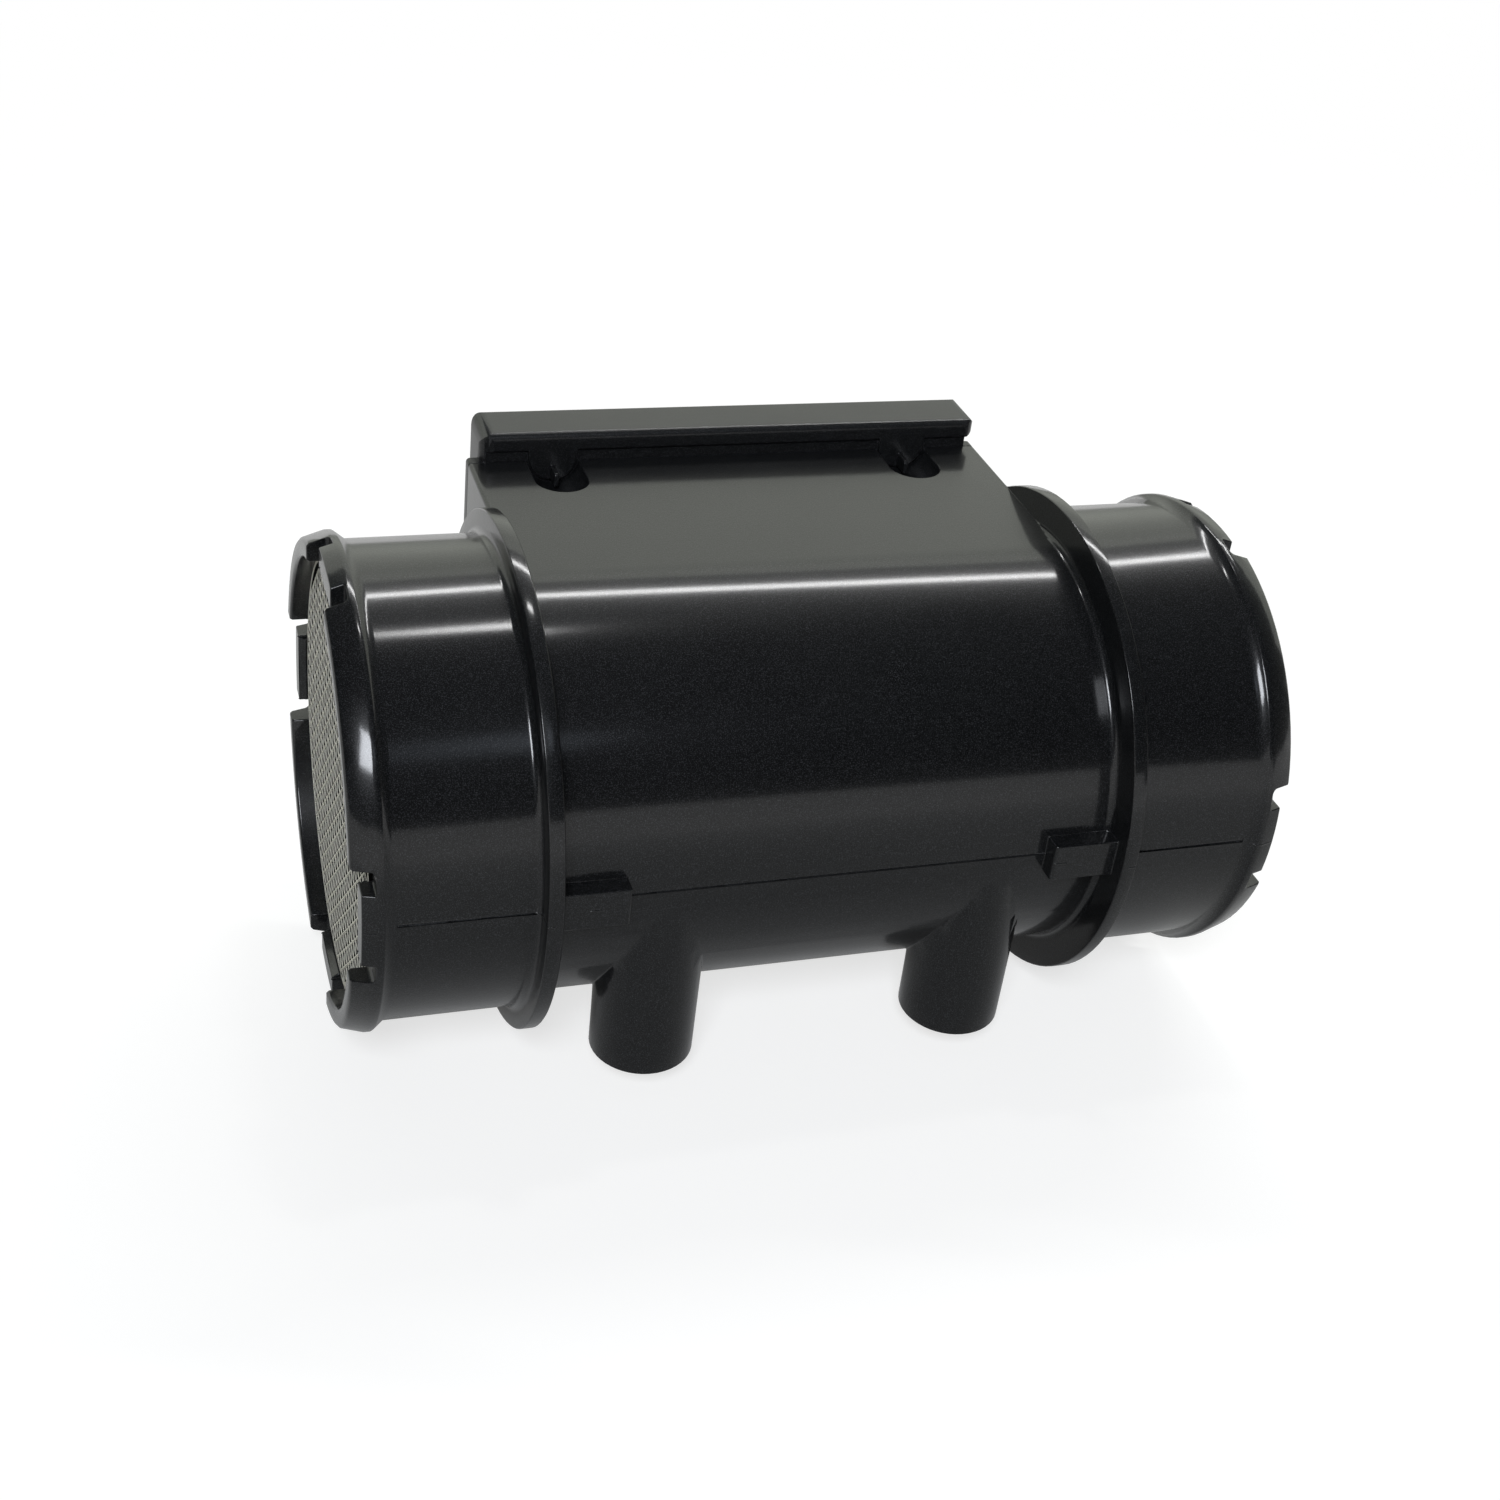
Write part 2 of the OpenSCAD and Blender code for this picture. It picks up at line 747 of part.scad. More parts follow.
// The four terminals, and with some room around them their holes in the cover
module terminal_bars(y0, y1, room = 0) {
    for (i = [0:terminal_count - 1])
        translate([socket_x + (i - (terminal_count - 1) / 2) * terminal_pitch - terminal_w / 2 - room,
                   y0, socket_z - terminal_t / 2 - room])
            cube([terminal_w + 2 * room, y1 - y0, terminal_t + 2 * room]);
}

module module_cover() {
    half = box_len / 2;
    color(plastic)
        placed()
            difference() {
                union() {
                    along_y(rounded_rect([-half, -box_low], [half, tube_r],
                                         box_round * [1, 1, 1, 1]), box_back, box_back + border_t);
                    cover_slab();
                    cover_tabs();
                    connector_shroud();
                }
                along_y(rounded_rect([-cavity_half, chamber_low + cover_wall],
                                     [cavity_half, chamber_top - 0.5], [1, 1, 1, 1]),
                        box_back - over, cavity_back);
                terminal_bars(cavity_back - over, slab_back + over, touch);
            }
}

module cover_seal() {
    color(rubber)
        placed() rim_groove(rim_groove_d);
}

module connector_terminals() {
    color(brass)
        placed() terminal_bars(board_back, socket_mouth - terminal_short);
}

// The window that the sensor leads pass through, in the base plate and in the board
module lead_window(y0, y1) {
    translate([-window_w / 2, y0, -window_h / 2]) cube([window_w, y1 - y0, window_h]);
}

module base_plate() {
    color(steel)
        placed()
            difference() {
                along_y(rounded_rect([-plate_len / 2, plate_mid_z - plate_h / 2],
                                     [plate_len / 2, plate_mid_z + plate_h / 2],
                                     2 * [1, 1, 1, 1]), plate_front, plate_back);
                lead_window(plate_front - over, plate_back + over);
                for (x = [-screw_x, screw_x], z = [-screw_z, screw_z])
                    translate([x, plate_front - over, plate_mid_z + z])
                        rotate([-90, 0, 0])
                            cylinder(d = screw_d + 0.4, h = plate_t + 2 * over, $fn = small_fn);
            }
}

module base_plate_screws() {
    color(steel)
        placed()
            for (x = [-screw_x, screw_x], z = [-screw_z, screw_z])
                translate([x, plate_front - screw_grip, plate_mid_z + z])
                    rotate([-90, 0, 0]) {
                        cylinder(d = screw_d, h = screw_grip + plate_t, $fn = small_fn);
                        translate([0, 0, screw_grip + plate_t])
                            difference() {
                                cylinder(d = screw_head_d, h = screw_head_h, $fn = small_fn);
                                translate([0, 0, screw_head_h - 0.8])
                                    cylinder(d = 2, h = over, $fn = 6);
                            }
                    }
}

module circuit_board() {
    color(board_green)
        placed()
            difference() {
                along_y(rounded_rect([-board_len / 2, plate_mid_z - board_h / 2],
                                     [board_len / 2, plate_mid_z + board_h / 2],
                                     [1, 1, 1, 1]), plate_back, board_back);
                lead_window(plate_back - over, board_back + over);
            }
}

// A chip on the board: its middle in X and Z, and its size
module chip(x, z, w, h, t) {
    translate([x - w / 2, board_back, z - h / 2]) cube([w, t, h]);
}

module control_chip() {
    color(chip_black)
        placed()
            chip(0, plate_mid_z + board_h / 4, control_w, control_w * 0.85, control_w / 7);
}

module driver_chip() {
    color(chip_black)
        placed()
            chip(board_len / 4, plate_mid_z + board_h / 6, driver_w, driver_w * 0.9, driver_w / 4);
}

module chip_capacitors() {
    color(ceramic)
        placed()
            for (i = [0:3])
                chip(board_len / 6 + i * capacitor_len * 1.9, plate_mid_z - board_h / 3,
                     capacitor_len, capacitor_len * 0.6, capacitor_len * 0.4);
}

module chip_resistors() {
    color(chip_black)
        placed()
            for (i = [0:3])
                chip(-board_len / 6 + i * resistor_len * 2, plate_mid_z - board_h / 2.7,
                     resistor_len, resistor_len * 0.6, resistor_len / 4);
}

// The bridge carries the hot film into the middle of the bore
module sensing_bridge() {
    tip = -arm_past;
    color(plastic)
        placed()
            difference() {
                union() {
                    translate([-foot_w / 2, foot_front, -foot_h / 2]) cube([foot_w, foot_t, foot_h]);
                    translate([-arm_w / 2 + arm_t / 2, tip, -arm_t / 2])
                        cube([arm_w - arm_t, foot_back - tip, arm_t]);
                    for (side = [-1, 1])
                        translate([side * (arm_w - arm_t) / 2, tip, 0])
                            rotate([-90, 0, 0])
                                cylinder(d = arm_t, h = foot_back - tip, $fn = small_fn);
                }
                translate([-arm_w, film_front, -duct_h / 2]) cube([2 * arm_w, film_len, duct_h]);
                translate([-channel_w / 2, film_front + film_len - 1.5, channel_floor])
                    cube([channel_w, box_back, arm_t]);
                translate([-channel_w / 2, film_front + film_len - 1.5, 0])
                    cube([channel_w, 1.5, arm_t]);
            }
}

module bridge_gasket() {
    color(rubber)
        placed()
            difference() {
                translate([-foot_w / 2, pad_y, -foot_h / 2]) cube([foot_w, gasket_t, foot_h]);
                translate([-arm_w / 2 - fit, pad_y - over, -arm_t / 2 - fit])
                    cube([arm_w + 2 * fit, gasket_t + 2 * over, arm_t + 2 * fit]);
            }
}

module hot_film_plate() {
    color(ceramic)
        placed()
            translate([-film_w / 2, film_front, -film_t / 2]) cube([film_w, film_len, film_t]);
}

module air_temperature_chip() {
    color(ceramic)
        placed()
            translate([-2, film_front + film_len + 6, -arm_t / 2 - 0.8]) cube([4, 3, 0.8]);
}

// Four leads lie in the bridge's channel, with a foot down to the hot film
module sensor_leads() {
    start = film_front + film_len - 1;
    color(brass)
        placed()
            for (i = [0:lead_count - 1])
                translate([(i - (lead_count - 1) / 2) * lead_pitch - lead_w / 2, 0, 0]) {
                    translate([0, start, channel_floor])
                        cube([lead_w, board_back + 1 - start, lead_t]);
                    translate([0, start, film_t / 2])
                        cube([lead_w, lead_t, channel_floor - film_t / 2 + lead_t]);
                }
}

tube_body();
inlet_straightener_band();
inlet_flat_strips();
inlet_corrugated_strips();
outlet_screen_ring();
outlet_screen_level_wires();
outlet_screen_upright_wires();
module_cover();
cover_seal();
connector_terminals();
base_plate();
base_plate_screws();
circuit_board();
control_chip();
driver_chip();
chip_capacitors();
chip_resistors();
sensing_bridge();
bridge_gasket();
hot_film_plate();
air_temperature_chip();
sensor_leads();
leg_inserts();
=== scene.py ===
"""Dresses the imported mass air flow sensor: moulded plastic, foil straightener, wire screen and stage."""

import math

import bmesh
import bpy
from mathutils import Matrix, Vector


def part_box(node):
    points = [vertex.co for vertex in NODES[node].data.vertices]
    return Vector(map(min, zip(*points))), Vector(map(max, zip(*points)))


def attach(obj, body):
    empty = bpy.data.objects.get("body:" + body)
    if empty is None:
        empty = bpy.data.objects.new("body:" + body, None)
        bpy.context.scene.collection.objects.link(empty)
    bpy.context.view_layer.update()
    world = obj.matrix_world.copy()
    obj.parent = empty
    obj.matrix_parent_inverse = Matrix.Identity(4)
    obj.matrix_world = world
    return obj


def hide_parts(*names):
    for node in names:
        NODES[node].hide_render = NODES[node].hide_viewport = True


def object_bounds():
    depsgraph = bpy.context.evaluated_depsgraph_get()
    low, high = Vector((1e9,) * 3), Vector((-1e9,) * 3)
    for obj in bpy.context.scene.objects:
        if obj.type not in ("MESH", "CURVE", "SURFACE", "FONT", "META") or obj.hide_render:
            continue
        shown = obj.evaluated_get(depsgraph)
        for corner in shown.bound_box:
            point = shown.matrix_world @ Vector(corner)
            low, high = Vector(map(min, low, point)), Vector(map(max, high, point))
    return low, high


bl_info = {
    "name": "Mass air flow sensor",
    "version": (1, 0, 0),
    "blender": (4, 5, 0),
    "location": "3D View > Sidebar > Air sensor",
    "description": "Finishes the surfaces of a mass air flow sensor and sets it in a studio",
    "category": "Object",
}

MM = 0.001
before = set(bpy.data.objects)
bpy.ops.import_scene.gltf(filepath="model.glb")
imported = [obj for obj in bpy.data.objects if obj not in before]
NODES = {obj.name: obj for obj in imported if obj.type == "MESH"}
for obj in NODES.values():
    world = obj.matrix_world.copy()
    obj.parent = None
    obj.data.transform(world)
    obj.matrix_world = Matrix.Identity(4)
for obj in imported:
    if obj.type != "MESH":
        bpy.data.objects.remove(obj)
CAD_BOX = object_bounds()

# The air path's axis, read from the straightener's band, which is round about it
BAND_LOW, BAND_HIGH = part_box("inlet_straightener_band")
AXIS_Y = (BAND_LOW.y + BAND_HIGH.y) / 2
AXIS_Z = (BAND_LOW.z + BAND_HIGH.z) / 2
BAND_RADIUS = (BAND_HIGH.y - BAND_LOW.y) / 2
LEG_LOW, LEG_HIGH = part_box("leg_inserts")
LEG_X = LEG_HIGH.x - (LEG_HIGH.y - LEG_LOW.y) / 2
CENTRE = Vector((0, AXIS_Y, AXIS_Z))

# The half-round pockets of the module box lie along Y at these places
POCKET_X = 37.6 * MM
POCKET_Z = AXIS_Z + 43.95 * MM

# Surfaces that are turned about these axes get their exact normals
TUBE_AXIS = (CENTRE, Vector((1, 0, 0)))
LEG_AXES = [(Vector((side * LEG_X, 0, 0)), Vector((0, 0, 1))) for side in (-1, 1)]
POCKET_AXES = [(Vector((side * POCKET_X, 0, POCKET_Z)), Vector((0, 1, 0))) for side in (-1, 1)]

# The camera's place and turn, fitted to the photograph
CAMERA_PLACE = Vector((-130.0, -294.0, 269.4)) * MM
CAMERA_AZIMUTH = math.radians(-20.98)
CAMERA_ELEVATION = math.radians(32.79)
CAMERA_ROLL = math.radians(7.17)
SENSOR_WIDTH = 36.0
FOCAL_LENGTH = 49.88

# A noise texture's values mostly lie between these two
NOISE_LOW, NOISE_HIGH = 0.3, 0.7

# The plastic's patches, its cut fibres and the noise over which they show, and the skin's ripple
PLASTIC_PATCH = 22 * MM
FIBRE, FIBRE_LOW, FIBRE_HIGH = 0.18 * MM, 0.5, 0.8
RIPPLE, RIPPLE_SHARE = 0.5 * MM, 0.08

# Broken flash along the parting line: the fin's section, the length of its pieces, where it gets busy,
# and the noise that the fin stands over before and past that place
FIN_CREST, FIN_FOOT, FIN_HEIGHT = 0.04 * MM, 0.2 * MM, 0.2 * MM
FIN_PIECE = 5 * MM
BUSY_FLASH = 60 * MM
FEW_FINS, MANY_FINS, FIN_END = 0.55, 0.4, 0.05

# How far behind the mouth the painted shade darkens the foil: it starts at once and is done at a waved or a
# flat strip
PAINTED_SHADE_START = 0.01 * MM
PAINTED_SHADE_WAVED = 0.12 * MM
PAINTED_SHADE_FLAT = 0.6 * MM
# Distance from a flat strip's middle at which it ends, and at which only the waved strip is left
FLAT_NEAR, FLAT_FAR = 0.15 * MM, 0.35 * MM

# The foil strips end short of the band's outside, and the outermost flat strip short of the circle
BAND_WALL = 0.5 * MM
ROW_MARGIN = 1.1 * MM
WAVE_STEPS = 8
# The outermost wire stays inside the ring, and each wire bends at four points in every mesh
WIRE_MARGIN = 1.5 * MM
WIRE_STEPS = 4

# How nearly a face follows an axis that it counts as turned about: the least part of its normal
# across the axis, the least share of that part along the radius, and the most its corners may differ
LEAST_LEAN = 0.05
LEAST_RADIAL = 0.99
MOST_DRIFT = 0.006 * MM
ON_AXIS = 0.000001 * MM
SOFT_EDGE = math.radians(50)

# Points closer than this are one, in the CAD's triangles and after the edges are rounded
SAME_POINT, SAME_ROUNDED = 0.0005 * MM, 0.002 * MM
FLAT_ANGLE = math.radians(0.2)

# The studio in metres, from the tube's middle to the right, ahead and up as the camera sees them
SET_SIDE, SET_FRONT, SET_BACK, SET_TOP = 3, -2, 1.4, 1.6
SCREEN_FOOT, FRONT_FOOT = 0.1, 0.42
CLOTH_AHEAD, CLOTH_FOOT, CLOTH_TOP = 1.6, -0.08, 1.38
CEILING_END = 1.62
# Heights over the middle between which the cloth goes from dim to full, and from there to its bright rim
FOOT_FADE, FOOT_SHARE, RIM_FADE = (-0.1, 0.45), 0.3, (1.0, 1.32)
FLOOR_HALF = 6
FLOOR_GAP = 0.5 * MM
STRIP_PLACE, STRIP_SIZE = (0.15, 0.875, 1.1), (1.1, 0.06)
SIDE_PLACE, SIDE_SIZE, SIDE_GAIN = (0.015, 0.285, 1.1), (0.11, 0.06), 1.3
KEY_DIRECTION, KEY_DISTANCE, KEY_SIZE = Vector((-0.31, -0.66, 0.69)), 1.4, (0.4, 0.4)
CARD_MIDDLE, CARD_REACH, CARD_DEPTH, CARD_HEIGHT = (0.49, -0.87, 1.0), 0.22, 0.13, 0.15

# The floor fades to plain white between these distances, and near the object it adds this much white
FADE_START, FADE_END = 0.1, 0.75
GLOSS_WHITE, CAMERA_WHITE = 0.15, 0.7


def srgb(code):
    """A colour written as sRGB hex, as linear red, green, blue and alpha."""
    parts = [int(code[i:i + 2], 16) / 255 for i in (1, 3, 5)]
    linear = [p / 12.92 if p <= 0.04045 else ((p + 0.055) / 1.055) ** 2.4 for p in parts]
    return (*linear, 1.0)


def colour_choice(name, description, code):
    return bpy.props.FloatVectorProperty(
        name=name, description=description, subtype="COLOR", size=4, min=0, max=1, default=srgb(code),
    )


def length_choice(name, description, default_mm, low_mm, high_mm):
    return bpy.props.FloatProperty(
        name=name, description=description, subtype="DISTANCE", unit="LENGTH", precision=5,
        default=default_mm * MM, min=low_mm * MM, max=high_mm * MM,
    )


def level_choice(name, description, default, high):
    return bpy.props.FloatProperty(name=name, description=description, default=default, min=0, max=high)


class AirSensorSizes(bpy.types.PropertyGroup):
    """Sizes of the fine detail"""

    edge_break: length_choice("Edge break", "Rounding of the moulded edges", 0.22, 0.05, 0.5)
    grain: length_choice("Grain", "Size of the mould's fine grain", 0.4, 0.1, 2)
    grain_depth: length_choice("Grain depth", "Depth of the mould's fine grain", 0.025, 0, 0.05)
    strip_pitch: length_choice("Strip pitch", "Distance between two flat strips", 3.05, 2, 5)
    wave_length: length_choice("Wave length", "Length of one wave of the foil", 4.05, 2, 6)
    foil: length_choice("Foil", "Thickness that the foil's cut edges show", 0.28, 0.1, 0.6)
    wire: length_choice("Wire", "Diameter of the screen wires", 0.5, 0.2, 0.8)
    wire_pitch: length_choice("Wire pitch", "Distance between the screen wires", 3, 1.5, 5)
    strip_tilt: bpy.props.FloatProperty(
        name="Strip tilt", description="Angle of the foil strips to the horizontal",
        subtype="ANGLE", default=math.radians(-44), min=-math.pi, max=math.pi,
    )


class AirSensorColours(bpy.types.PropertyGroup):
    """Colours of the finishes"""

    body: colour_choice("Body", "Moulded plastic of the tube and the module box", "#0b0c0d")
    cover: colour_choice("Cover", "Moulded plastic of the module's cover", "#0e0f10")
    bridge: colour_choice("Bridge", "Moulded plastic of the sensing bridge", "#15161a")
    foil: colour_choice("Foil", "Rolled foil of the straightener", "#fbf8ea")
    wire: colour_choice("Wire", "Drawn wire of the screen", "#b9bbbd")
    brass: colour_choice("Brass", "Turned and stamped brass", "#b8954a")
    plate: colour_choice("Plate", "Rolled aluminium plate", "#c4c7c9")
    screw: colour_choice("Screw", "Zinc-plated steel screws", "#b7b9b6")
    rubber: colour_choice("Rubber", "Moulded silicone seals", "#2b2826")
    board: colour_choice("Board", "Lacquer on the circuit board", "#1f4a2c")
    chip: colour_choice("Chip", "Moulded chip housings", "#1e1f21")
    ceramic: colour_choice("Ceramic", "Fired ceramic", "#e4e0d4")
    paper: colour_choice("Paper", "Floor of the studio", "#a4a4a2")


class AirSensorStudio(bpy.types.PropertyGroup):
    """Levels of the lamps"""

    softbox: level_choice("Softbox", "Brightness of the big soft cloth behind", 1.0, 20)
    rim: level_choice("Rim", "Extra brightness along the cloth's upper edge", 0.35, 20)
    strip: level_choice("Strip", "Brightness of the thin lamp above", 32, 80)
    key: level_choice("Key", "Brightness of the small lamp in front", 26, 200)
    card: level_choice("Card", "Brightness of the soft card in front", 1.7, 5)
    world: level_choice("Surroundings", "Light of the room on matt surfaces", 0.35, 2)


def add_node(tree, kind, settings=None, links=None):
    """Adds a node, sets its properties or inputs by name, and links inputs to sockets or first outputs."""
    node = tree.nodes.new(kind)
    for name, value in (settings or {}).items():
        if isinstance(name, str) and hasattr(node, name):
            setattr(node, name, value)
        else:
            node.inputs[name].default_value = value
    for name, source in (links or {}).items():
        socket = source.outputs[0] if isinstance(source, bpy.types.Node) else source
        tree.links.new(socket, node.inputs[name])
    return node


def empty_material(name):
    """A material with an empty node tree."""
    material = bpy.data.materials.new(name)
    material.use_nodes = True
    material.node_tree.nodes.clear()
    return material, material.node_tree


def new_material(name, shader_settings):
    """A material with its own Principled shader and no other nodes."""
    material, tree = empty_material(name)
    shader = add_node(tree, "ShaderNodeBsdfPrincipled", shader_settings)
    add_node(tree, "ShaderNodeOutputMaterial", {}, {"Surface": shader})
    return material, tree, shader


def noise_pattern(tree, size, detail, stretch=(1, 1, 1)):
    """A noise of a real size on the object, stretched along its axes."""
    place = add_node(tree, "ShaderNodeTexCoord")
    turn = add_node(tree, "ShaderNodeMapping", {"Scale": stretch}, {"Vector": place.outputs["Object"]})
    return add_node(
        tree, "ShaderNodeTexNoise", {"Scale": 1 / size, "Detail": detail}, {"Vector": turn},
    ).outputs["Fac"]


def add_patches(tree, shader, colour, shade, size, stretch=(1, 1, 1)):
    """Varies the base colour between two shades over patches of a real size."""
    patches = noise_pattern(tree, size, 3.0, stretch)
    spread = add_node(
        tree, "ShaderNodeMapRange", {"From Min": NOISE_LOW, "From Max": NOISE_HIGH}, {"Value": patches},
    )
    dark = tuple(c * shade for c in colour[:3]) + (1.0,)
    mixed = add_node(
        tree, "ShaderNodeMix", {"data_type": "RGBA", 6: dark, 7: tuple(colour)}, {0: spread},
    )
    tree.links.new(mixed.outputs[2], shader.inputs["Base Color"])
    return patches


def add_tint(tree, shader, share, colour):
    """Goes over the base colour with a further colour where the share is more than 0."""
    before = shader.inputs["Base Color"].links[0].from_socket
    mixed = add_node(tree, "ShaderNodeMix", {"data_type": "RGBA", 7: colour}, {0: share, 6: before})
    tree.links.new(mixed.outputs[2], shader.inputs["Base Color"])


def add_grain(tree, shader, normal, size, depth, stretch=(1, 1, 1)):
    """A bump of fine grain with a real size and depth in one of the shader's normals."""
    grain = noise_pattern(tree, size, 2.0, stretch)
    bump = add_node(tree, "ShaderNodeBump", {"Strength": 1.0, "Distance": depth}, {"Height": grain})
    tree.links.new(bump.outputs["Normal"], shader.inputs[normal])


def add_gloss(tree, shader, pattern, low, high):
    """Varies the roughness between two values with a pattern."""
    spread = add_node(
        tree, "ShaderNodeMapRange",
        {"From Min": NOISE_LOW, "From Max": NOISE_HIGH, "To Min": low, "To Max": high}, {"Value": pattern},
    )
    tree.links.new(spread.outputs["Result"], shader.inputs["Roughness"])


def moulded_plastic(name, colour, sizes, gloss, skin, haze):
    """Glass-filled polyester from a fine-ground tool: a glossy moulded skin over a hazy, sparkling grain."""
    material, tree, shader = new_material(name, {
        "Roughness": haze, "IOR": 1.2,
        "Coat Weight": skin, "Coat Roughness": gloss, "Coat IOR": 1.42,
    })
    patches = add_patches(tree, shader, colour, shade=0.8, size=PLASTIC_PATCH)
    # Cut glass fibres show as pale specks; the real ones are 0.01 mm wide, so they are drawn wider
    specks = add_node(
        tree, "ShaderNodeMapRange", {"From Min": FIBRE_LOW, "From Max": FIBRE_HIGH},
        {"Value": noise_pattern(tree, FIBRE, 1.0)},
    )
    add_tint(tree, shader, specks.outputs["Result"], srgb("#3a3b3d"))
    # The real grain is under 0.1 mm; it is drawn coarser, so that it shows
    add_grain(tree, shader, "Normal", sizes.grain, sizes.grain_depth)
    add_gloss(tree, shader, patches, low=haze * 0.9, high=haze * 1.1)
    # The skin bridges most of the grain and keeps a faint ripple
    add_grain(tree, shader, "Coat Normal", RIPPLE, sizes.grain_depth * RIPPLE_SHARE)
    return material


def add_flash(material, level, front, busy):
    """Broken flash along the tool's parting line: a thin fin in front at one level, most of it past busy."""
    tree = material.node_tree
    shader = next(node for node in tree.nodes if node.type == "BSDF_PRINCIPLED")
    place = add_node(tree, "ShaderNodeTexCoord")
    parts = add_node(tree, "ShaderNodeSeparateXYZ", {}, {0: place.outputs["Object"]})
    above = add_node(tree, "ShaderNodeMath", {"operation": "SUBTRACT", 1: level}, {0: parts.outputs["Z"]})
    away = add_node(tree, "ShaderNodeMath", {"operation": "ABSOLUTE"}, {0: above})
    # The real fin is 0.1 mm thick; it is drawn up to four times as wide at its foot, so that it shows
    fin = add_node(
        tree, "ShaderNodeMapRange",
        {"interpolation_type": "SMOOTHSTEP", "From Min": FIN_CREST, "From Max": FIN_FOOT,
         "To Min": 1.0, "To Max": 0.0},
        {"Value": away},
    )
    before = add_node(tree, "ShaderNodeMath", {"operation": "LESS_THAN", 1: front}, {0: parts.outputs["Y"]})
    along = add_node(tree, "ShaderNodeCombineXYZ", {}, {"X": parts.outputs["X"]})
    breaks = add_node(
        tree, "ShaderNodeTexNoise", {"Scale": 1 / FIN_PIECE, "Detail": 1.0}, {"Vector": along},
    )
    gaps = add_node(
        tree, "ShaderNodeMapRange",
        {"From Min": busy - FIN_PIECE, "From Max": busy, "To Min": FEW_FINS, "To Max": MANY_FINS},
        {"Value": parts.outputs["X"]},
    )
    more = add_node(
        tree, "ShaderNodeMath", {"operation": "SUBTRACT"}, {0: breaks.outputs["Fac"], 1: gaps},
    )
    dashes = add_node(tree, "ShaderNodeMapRange", {"From Min": 0.0, "From Max": FIN_END}, {"Value": more})
    here = add_node(tree, "ShaderNodeMath", {"operation": "MULTIPLY"}, {0: fin, 1: before})
    height = add_node(tree, "ShaderNodeMath", {"operation": "MULTIPLY"}, {0: here, 1: dashes})
    for normal in ("Normal", "Coat Normal"):
        grain = shader.inputs[normal].links[0].from_socket
        bump = add_node(
            tree, "ShaderNodeBump", {"Strength": 1.0, "Distance": FIN_HEIGHT},
            {"Height": height, "Normal": grain},
        )
        tree.links.new(bump.outputs["Normal"], shader.inputs[normal])


def rolled_foil(name, colour, mouth, tilt, pitch):
    """Stainless foil, rolled and slit: pale warm cut edges, and painted shade that darkens the cells a little
    way in.
    """
    material, tree, shader = new_material(
        name, {"Roughness": 0.65, "Metallic": 0.1, "IOR": 1.3, "Specular IOR Level": 0.05},
    )
    patches = add_patches(tree, shader, colour, shade=0.85, size=1.2 * MM, stretch=(0.2, 1, 1))
    add_gloss(tree, shader, patches, low=0.52, high=0.68)
    # Painted shade: the walls are darkened just behind the mouth, where each looks only at its neighbours and
    # loses the light
    place = add_node(tree, "ShaderNodeTexCoord")
    parts = add_node(tree, "ShaderNodeSeparateXYZ", {}, {0: place.outputs["Object"]})
    # The painted shade starts further in on the flat strips, which catch the light further in than the waved
    # ones between them
    square = add_node(
        tree, "ShaderNodeMapping",
        {"vector_type": "TEXTURE", "Location": (0, AXIS_Y, AXIS_Z), "Rotation": (tilt, 0, 0)},
        {"Vector": place.outputs["Object"]},
    )
    rows = add_node(tree, "ShaderNodeSeparateXYZ", {}, {0: square})
    beside = add_node(
        tree, "ShaderNodeMath", {"operation": "PINGPONG", 1: pitch / 2}, {0: rows.outputs["Z"]},
    )
    reach = add_node(
        tree, "ShaderNodeMapRange",
        {"From Min": FLAT_NEAR, "From Max": FLAT_FAR,
         "To Min": mouth + PAINTED_SHADE_FLAT, "To Max": mouth + PAINTED_SHADE_WAVED},
        {"Value": beside},
    )
    depth = add_node(
        tree, "ShaderNodeMapRange",
        {"interpolation_type": "SMOOTHSTEP", "From Min": mouth + PAINTED_SHADE_START},
        {"Value": parts.outputs["X"], "From Max": reach},
    )
    # Painted shade: a near-black tint over the foil's colour that grows from the mouth inwards
    add_tint(tree, shader, depth.outputs["Result"], srgb("#0c0b0a"))
    return material


